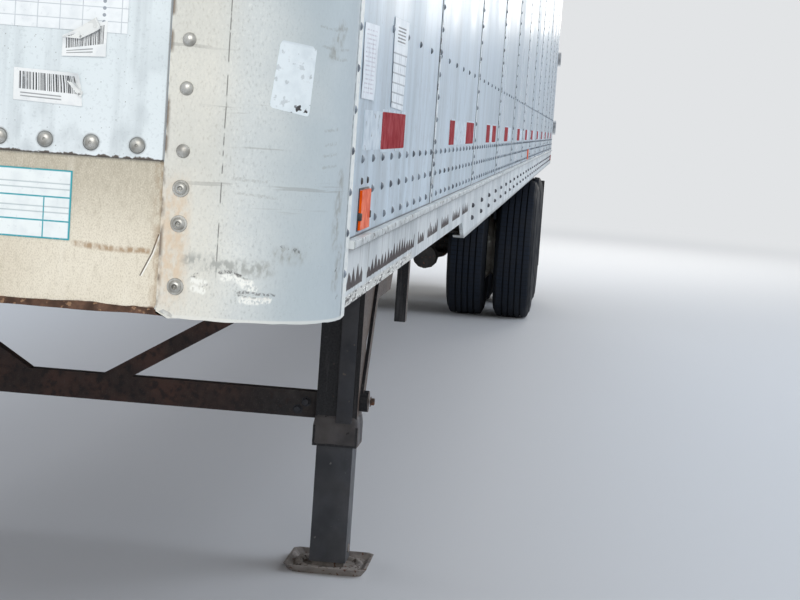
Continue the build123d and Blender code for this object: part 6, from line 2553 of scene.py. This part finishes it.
    def bolts(self) -> None:
        """The hexagon bolts at the brace's ends, on the knobs and on the gusset plates."""
        facing = self.bench.facing
        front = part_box("leg_cross_brace")[1].x
        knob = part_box("leg_stays")[1].y
        frames: List[Matrix] = []
        outward: List[Matrix] = []
        for side in Side:
            frames += [facing((front, side.value * across, level), AHEAD, across * 9)
                       for across, level in self.brace_places]
            outward.append(facing((self.place, side.value * knob, self.knob_level), side.out))
            plate_y = side.value * (self.spread + self.half_outer)
            outward += [facing((self.place - self.half_outer - back, plate_y, level), side.out, back * 7)
                        for back, level in self.plate_places]
        self.bench.row("brace_bolts", self.bolt, 6, frames, "leg_strip", "rusty_brace")
        self.bench.row("stay_bolts", self.bolt, 6, outward, "rusty_bolt", "leg_paint")


@dataclass
class Suspension(Assembly):
    """The rods, nuts and tie plates that clamp the springs to the axles, and the frame rails' bolts."""

    spring_across: float = 0.540
    spring_top: float = 0.6765
    seat_half: float = 0.052
    bolt_radius: float = 0.0095
    clamp_out: float = 0.045
    rod_low: float = 0.430
    nut_low: float = 0.426
    plate_low: float = 0.4535
    rail_web: float = 0.545
    bolt_pitch: float = 0.30
    nut: Line = ((0.0, 0.016), (0.0120, 0.016), (0.0145, 0.0135), (0.0145, 0.0), (0.0, 0.0))
    head: Line = ((0.0, 0.010), (0.0110, 0.010), (0.0135, 0.008), (0.0135, -0.001))

    def build(self) -> None:
        """Stamps the clamps of every spring and the bolts of both rails."""
        rods: List[Matrix] = []
        nuts: List[Matrix] = []
        tops: List[Matrix] = []
        plates: List[Matrix] = []
        stretch = Matrix.Diagonal((1.0, 1.0, self.spring_top + 0.004 - self.rod_low, 1.0))
        for _, side, middle in self.layout.wheels():
            across = side.value * self.spring_across
            plates.append(Matrix.Translation((middle.x, across, self.plate_low)))
            for shift_x in (-self.seat_half, self.seat_half):
                for shift_y in (-self.clamp_out, self.clamp_out):
                    x, y = middle.x + shift_x, across + shift_y
                    rods.append(Matrix.Translation((x, y, self.rod_low)) @ stretch)
                    nuts.append(Matrix.Translation((x, y, self.spring_top - 0.001)))
                    tops.append(Matrix.Translation((x, y, self.nut_low)))
        rod = ((0.0, 0.0), (self.bolt_radius, 0.0), (self.bolt_radius, 1.0), (0.0, 1.0))
        self.bench.row("spring_clamp_rods", rod, 12, rods, "spring_steel", "spring_steel", angle=40.0)
        self.bench.row("spring_clamp_nuts", self.nut, 6, nuts + tops, "rusty_bolt", "spring_steel")
        plate = self.bench.block("master_tie_plate", (-0.075, -0.060, -0.012), (0.075, 0.060, 0.0), 0.003)
        self.bench.copies("spring_tie_plates", plate, plates, "axle_paint", "axle_paint")
        self.bench.discard(plate)
        self.rail_bolts()

    def rail_bolts(self) -> None:
        """Bolt heads along the frame rails' webs."""
        low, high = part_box("frame_rails")
        frames: List[Matrix] = []
        level = max(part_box("leaf_springs")[1].z + 0.10, (low.z + high.z) / 2)
        place = high.x - self.bolt_pitch
        while place > low.x + 0.20:
            for side in Side:
                across = side.value * self.rail_web
                frames.append(self.bench.facing((place, across, level), side.out, place))
                frames.append(self.bench.facing((place, across, level + 0.07), side.out))
            place -= self.bolt_pitch
        self.bench.row("frame_rail_bolts", self.head, 6, frames, "rusty_bolt", "black_steel")


@dataclass
class RearDress(Assembly):
    """The door seals, the screws of the straps and doors, handle sleeves, lamp bezels and bumper bolts."""

    seal: float = 0.010
    seal_metal: float = 0.0045
    strap_first: float = 1.428
    strap_last: float = 3.847
    strap_count: int = 5
    strap_metal: float = 0.0078
    screw_pitch: float = 0.10
    rod_offset: float = 0.024
    handle_half: float = 0.006
    handle_low: float = 1.560
    handle_tall: float = 0.030
    sleeve_span: Tuple[float, float] = (0.464, 0.736)
    sleeve_metal: float = 0.0010
    lamp_places: Tuple[float, ...] = (0.600, 0.730, -0.600, -0.730)
    lamp_rise: float = 0.051
    screw: Line = ((0.0, 0.0042), (0.0042, 0.0036), (0.0066, 0.0012), (0.0068, -0.001))
    bezel: Line = ((0.0515, 0.0), (0.0515, 0.010), (0.0545, 0.0125), (0.0585, 0.0115), (0.0605, 0.007),
                   (0.0605, -0.002))
    bumper_bolt: Line = ((0.0, -0.0020), (0.0080, -0.0020), (0.0090, -0.0005), (0.0150, -0.0005),
                         (0.0155, -0.0040))

    def build(self) -> None:
        """Makes the rear's small pieces."""
        for side in Side:
            self.door(side)
            self.handle_sleeve(side)
        self.bezels()
        self.bumper_bolts()

    def door(self, side: Side) -> None:
        """The rubber seal and the screws of one door.

        Args:
            side: The side.
        """
        body = f"rear_door_{side.word}"
        low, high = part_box(f"door_{side.word}")
        face = low.x - 0.0005
        seal = self.seal
        bars = (
            (low.y, low.z, low.y + seal, high.z),
            (high.y - seal, low.z, high.y, high.z),
            (low.y + seal, low.z, high.y - seal, low.z + seal),
            (low.y + seal, high.z - seal, high.y - seal, high.z),
        )
        master = self.bench.block("master_seal", (0.0, 0.0, 0.0), (1.0, 1.0, 1.0), 0.18)
        frames = [self.bench.boxed((face - self.seal_metal, y0, z0), (face + 0.002, y1, z1))
                  for y0, z0, y1, z1 in bars]
        self.bench.copies(f"door_seal_{side.word}", master, frames, "black_rubber", "black_rubber", body)
        self.bench.discard(master)
        frames = []
        hinge_side = high.y if side is Side.LEFT else low.y
        pitch = (self.strap_last - self.strap_first) / (self.strap_count - 1)
        for number in range(self.strap_count):
            for reach in (0.045, 0.085):
                for shift in (-0.028, 0.028):
                    place = (face - self.strap_metal, hinge_side - side.value * reach,
                             self.strap_first + number * pitch + shift)
                    frames.append(self.bench.facing(place, BEHIND))
        across = low.y + 0.05
        while across < high.y - 0.04:
            for level in (low.z + 0.035, high.z - 0.035):
                frames.append(self.bench.facing((low.x, across, level), BEHIND))
            across += self.screw_pitch
        self.bench.row(f"door_screws_{side.word}", self.screw, 12, frames, "rivet_aluminium", "door_white",
                       body, 50.0)

    def handle_sleeve(self, side: Side) -> None:
        """A rounded sleeve round the two lock handles of a door, where they lie in one line.

        Args:
            side: The side.
        """
        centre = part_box(f"door_{side.word}")[0].x - self.rod_offset
        near, far = sorted(side.value * end for end in self.sleeve_span)
        half = self.handle_half + self.sleeve_metal
        low = (centre - half, near, self.handle_low - self.sleeve_metal)
        high = (centre + half, far, self.handle_low + self.handle_tall + self.sleeve_metal)
        piece = self.bench.block(f"handle_sleeve_{side.word}", low, high, 0.0022)
        self.bench.hand_over(piece, "galvanised_steel", "galvanised_steel", f"rear_door_{side.word}")

    def bezels(self) -> None:
        """Rubber rings round the four tail lamps."""
        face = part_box("rear_frame")[0].x
        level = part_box("red_lamps")[0].z + self.lamp_rise
        frames = [self.bench.facing((face, across, level), BEHIND) for across in self.lamp_places]
        self.bench.row("tail_lamp_bezels", self.bezel, 36, frames, "black_rubber", "black_rubber", angle=50.0)

    def bumper_bolts(self) -> None:
        """Two recessed bolts in each dock bumper."""
        low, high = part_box("dock_bumpers")
        middle = (low.z + high.z) / 2
        frames = [self.bench.facing((low.x, side.value * (high.y - inset), middle), BEHIND)
                  for side in Side for inset in (0.030, 0.080)]
        self.bench.row("bumper_bolts", self.bumper_bolt, 12, frames, "galvanised_steel", "galvanised_steel")


@dataclass
class RoofAndNose(Assembly):
    """The air tanks' domed ends, the top rails' rivets and the screws of the socket plates."""

    rivet_pitch: float = 0.10
    screw_inset: float = 0.008
    plug: Line = ((0.0, 0.044), (0.014, 0.044), (0.019, 0.040), (0.019, 0.028), (0.034, 0.027), (0.038, 0.0225))
    dome: Line = ((0.0, 0.024), (0.045, 0.0225), (0.080, 0.018), (0.105, 0.011), (0.120, 0.003), (0.122, 0.0),
                  (0.126, 0.004))
    rivet: Line = ((0.0, 0.0022), (0.0040, 0.0018), (0.0058, 0.0004), (0.0060, -0.0008))
    screw: Line = ((0.0, 0.0035), (0.0038, 0.0030), (0.0055, 0.0006), (0.0056, -0.001))

    def build(self) -> None:
        """Makes the small pieces of the tanks, the roof and the nose."""
        self.tank_ends()
        self.roof_rivets()
        self.socket_screws()

    def tank_ends(self) -> None:
        """Domed ends with a rolled edge and a rusty plug on both air tanks."""
        low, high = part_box("air_tanks")
        radius = (high.z - low.z) / 2
        frames = [self.bench.facing((place, across, low.z + radius), way)
                  for across in (high.y - radius, low.y + radius)
                  for place, way in ((high.x, AHEAD), (low.x, BEHIND))]
        dome = (*self.dome, (radius, 0.002), (radius + 0.0012, -0.004))
        self.bench.row("tank_domes", dome, 40, frames, "tank_paint", "tank_paint", angle=40.0)
        self.bench.row("tank_plugs", self.plug, 6, frames, "rusty_bolt", "tank_paint")

    def roof_rivets(self) -> None:
        """Two rows of rivets down each top rail."""
        low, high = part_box("top_rails")
        frames: List[Matrix] = []
        for side in Side:
            place = low.x + 0.04
            while place < high.x - 0.16:
                for level in (low.z + 0.014, high.z - 0.016):
                    frames.append(self.bench.facing((place, side.value * high.y, level), side.out))
                place += self.rivet_pitch
        self.bench.row("top_rail_rivets", self.rivet, 8, frames, "rivet_aluminium", "roof_aluminium",
                       angle=60.0)

    def socket_screws(self) -> None:
        """Screws at the corners of the socket plates on the nose."""
        low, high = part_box("sockets")
        layout = self.layout
        frames: List[Matrix] = []
        for across in (low.y + self.screw_inset, high.y - self.screw_inset):
            for level in (low.z + self.screw_inset, high.z - self.screw_inset):
                face = layout.nose + 0.0012 + layout.front_rise(across, level)
                frames.append(self.bench.facing((face, across, level), AHEAD))
        self.bench.row("socket_screws", self.screw, 10, frames, "wheel_nut", "socket_metal", angle=50.0)


@dataclass
class Studio:
    """The camera that matches the photograph, the soft lights and the pale floor."""

    focal_pixels: float = 1864.7
    image_width: float = 800.0
    behind_nose: float = -1.8955
    across: float = 1.5358
    height: float = 1.3813
    yaw: float = 0.0899
    pitch: float = -0.0939
    roll: float = 0.0696
    backdrop: Colour = srgb(226, 228, 230)

    def build(self, layout: Layout) -> None:
        """Makes the camera, the lights and the floor.

        Args:
            layout: The trailer's places.
        """
        self.camera(layout)
        self.lights(layout)
        self.floor()

    def camera(self, layout: Layout) -> None:
        """Sets the camera from the fitted yaw, pitch and roll.

        Args:
            layout: The trailer's places.
        """
        level = math.cos(self.pitch)
        forward = Vector((-level * math.cos(self.yaw), -level * math.sin(self.yaw), math.sin(self.pitch)))
        level_right = Vector((-math.sin(self.yaw), math.cos(self.yaw), 0.0))
        level_up = level_right.cross(forward)
        right = level_right * math.cos(self.roll) + level_up * math.sin(self.roll)
        up = level_up * math.cos(self.roll) - level_right * math.sin(self.roll)
        data = bpy.data.cameras.new("photo_camera")
        data.sensor_width = 36.0
        data.lens = self.focal_pixels * data.sensor_width / self.image_width
        data.clip_start = 0.05
        data.clip_end = 200.0
        camera = bpy.data.objects.new("photo_camera", data)
        bpy.context.scene.collection.objects.link(camera)
        turn = Matrix((right, up, -forward)).transposed().to_4x4()
        place = (layout.back(self.behind_nose), self.across, self.height)
        camera.matrix_world = Matrix.Translation(place) @ turn
        bpy.context.scene.camera = camera

    def lights(self, layout: Layout) -> None:
        """A broad key from the front left, a fill from the right and an even pale sky.

        Args:
            layout: The trailer's places.
        """
        warm = srgb(255, 252, 246)
        table = (
            ("key_light", (layout.nose + 8.0, 2.2, 6.0), (layout.nose, 0.6, 1.4), 7.0, 560.0, warm),
            ("side_light", (0.0, 10.0, 7.0), (0.0, 1.2, 1.8), 9.0, 620.0, srgb(236, 244, 255)),
            ("fill_light", (0.0, -10.0, 6.0), (0.0, -1.2, 1.8), 9.0, 700.0, srgb(244, 248, 255)),
            ("rear_light", (-15.0, 2.0, 5.5), (-7.0, 0.0, 2.0), 6.0, 520.0, warm),
        )
        for name, place, target, size, power, colour in table:
            data = bpy.data.lights.new(name, "AREA")
            data.size = size
            data.energy = power
            data.color = colour
            lamp = bpy.data.objects.new(name, data)
            bpy.context.scene.collection.objects.link(lamp)
            lamp.location = place
            lamp.rotation_euler = (Vector(target) - Vector(place)).to_track_quat("-Z", "Y").to_euler()
        world = bpy.data.worlds.new("studio")
        world.use_nodes = True
        tree = world.node_tree
        sky = tree.nodes["Background"]
        sky.inputs["Color"].default_value = (*srgb(226, 234, 244), 1.0)
        sky.inputs["Strength"].default_value = 0.62
        shown = tree.nodes.new("ShaderNodeBackground")
        shown.inputs["Color"].default_value = (*self.backdrop, 1.0)
        rays = tree.nodes.new("ShaderNodeLightPath")
        seen = rays.outputs["Is Camera Ray"]
        for kind in ("Is Glossy Ray", "Is Transmission Ray"):
            either = tree.nodes.new("ShaderNodeMath")
            either.operation = "MAXIMUM"
            tree.links.new(seen, either.inputs[0])
            tree.links.new(rays.outputs[kind], either.inputs[1])
            seen = either.outputs[0]
        blend = tree.nodes.new("ShaderNodeMixShader")
        tree.links.new(seen, blend.inputs["Fac"])
        tree.links.new(sky.outputs[0], blend.inputs[1])
        tree.links.new(shown.outputs[0], blend.inputs[2])
        tree.links.new(blend.outputs[0], tree.nodes["World Output"].inputs["Surface"])
        bpy.context.scene.world = world
        bpy.context.scene.view_settings.view_transform = "Standard"

    def floor(self) -> None:
        """A plain pale floor that fades into the backdrop's colour well away from the trailer."""
        bpy.ops.object.select_all(action="DESELECT")
        bpy.ops.mesh.primitive_plane_add(size=160.0, location=(0.0, 0.0, 0.0))
        floor = bpy.context.object
        floor.name = "studio_floor"
        graph = Graph("floor_pale")
        graph.colour = srgb(211, 212, 214)
        material = graph.finish(0.85)
        glow = graph.add("ShaderNodeEmission")
        glow.inputs["Color"].default_value = (*self.backdrop, 1.0)
        rays = graph.add("ShaderNodeLightPath")
        seen = graph.step("MAXIMUM", rays.outputs["Is Camera Ray"], rays.outputs["Is Glossy Ray"])
        seen = graph.step("MAXIMUM", seen, rays.outputs["Is Transmission Ray"])
        reach = graph.vector("MULTIPLY", graph.place, (0.62, 1.0, 0.0)).outputs[0]
        away = graph.ramp(graph.vector("LENGTH", reach, reach).outputs["Value"], 4.5, 13.0)
        blend = graph.add("ShaderNodeMixShader")
        graph.link(graph.times(seen, away), blend.inputs["Fac"])
        graph.link(graph.shader.outputs[0], blend.inputs[1])
        graph.link(glow.outputs[0], blend.inputs[2])
        graph.link(blend.outputs[0], graph.tree.nodes["Material Output"].inputs["Surface"])
        floor.data.materials.append(material)
        floor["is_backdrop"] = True


def dress_nodes(finishes: Finishes) -> None:
    """Gives every CAD node the finish of its slot.

    Args:
        finishes: All the materials.
    """
    own = {"leg_tubes": "leg_tube_paint"}
    for part in frame["record"]["subparts"]:
        node = frame["nodes"][part["node"]]
        material = finishes.get(own.get(part["node"], part["material_slot"]))
        for slot in node.material_slots:
            slot.material = material


def write_sizes() -> None:
    """Works out the CAD box and the dressed model's box as plain lists, and keeps neither."""
    boxes = {"cad": cad_box, "visual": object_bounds()}
    plain = {name: [list(corner) for corner in corners] for name, corners in boxes.items()}


def main() -> None:
    """Builds every sub-assembly in order and reports each."""
    logging.basicConfig(level=logging.INFO, format="%(name)s %(message)s")
    bpy.ops.object.select_all(action="DESELECT")
    finishes = Finishes()
    bench = Bench(finishes)
    layout = Layout().read()
    dress_nodes(finishes)
    for kind in (Sheets, Fixings, Markings, SideTrim, Tyres, WheelFittings, Legs, Suspension, RearDress,
                 RoofAndNose):
        before = bench.made
        kind(bench, layout).build()
        log.info("%s made %d pieces", kind.__name__, bench.made - before)
    Studio().build(layout)
    write_sizes()


if __name__ == "__main__":
    main()
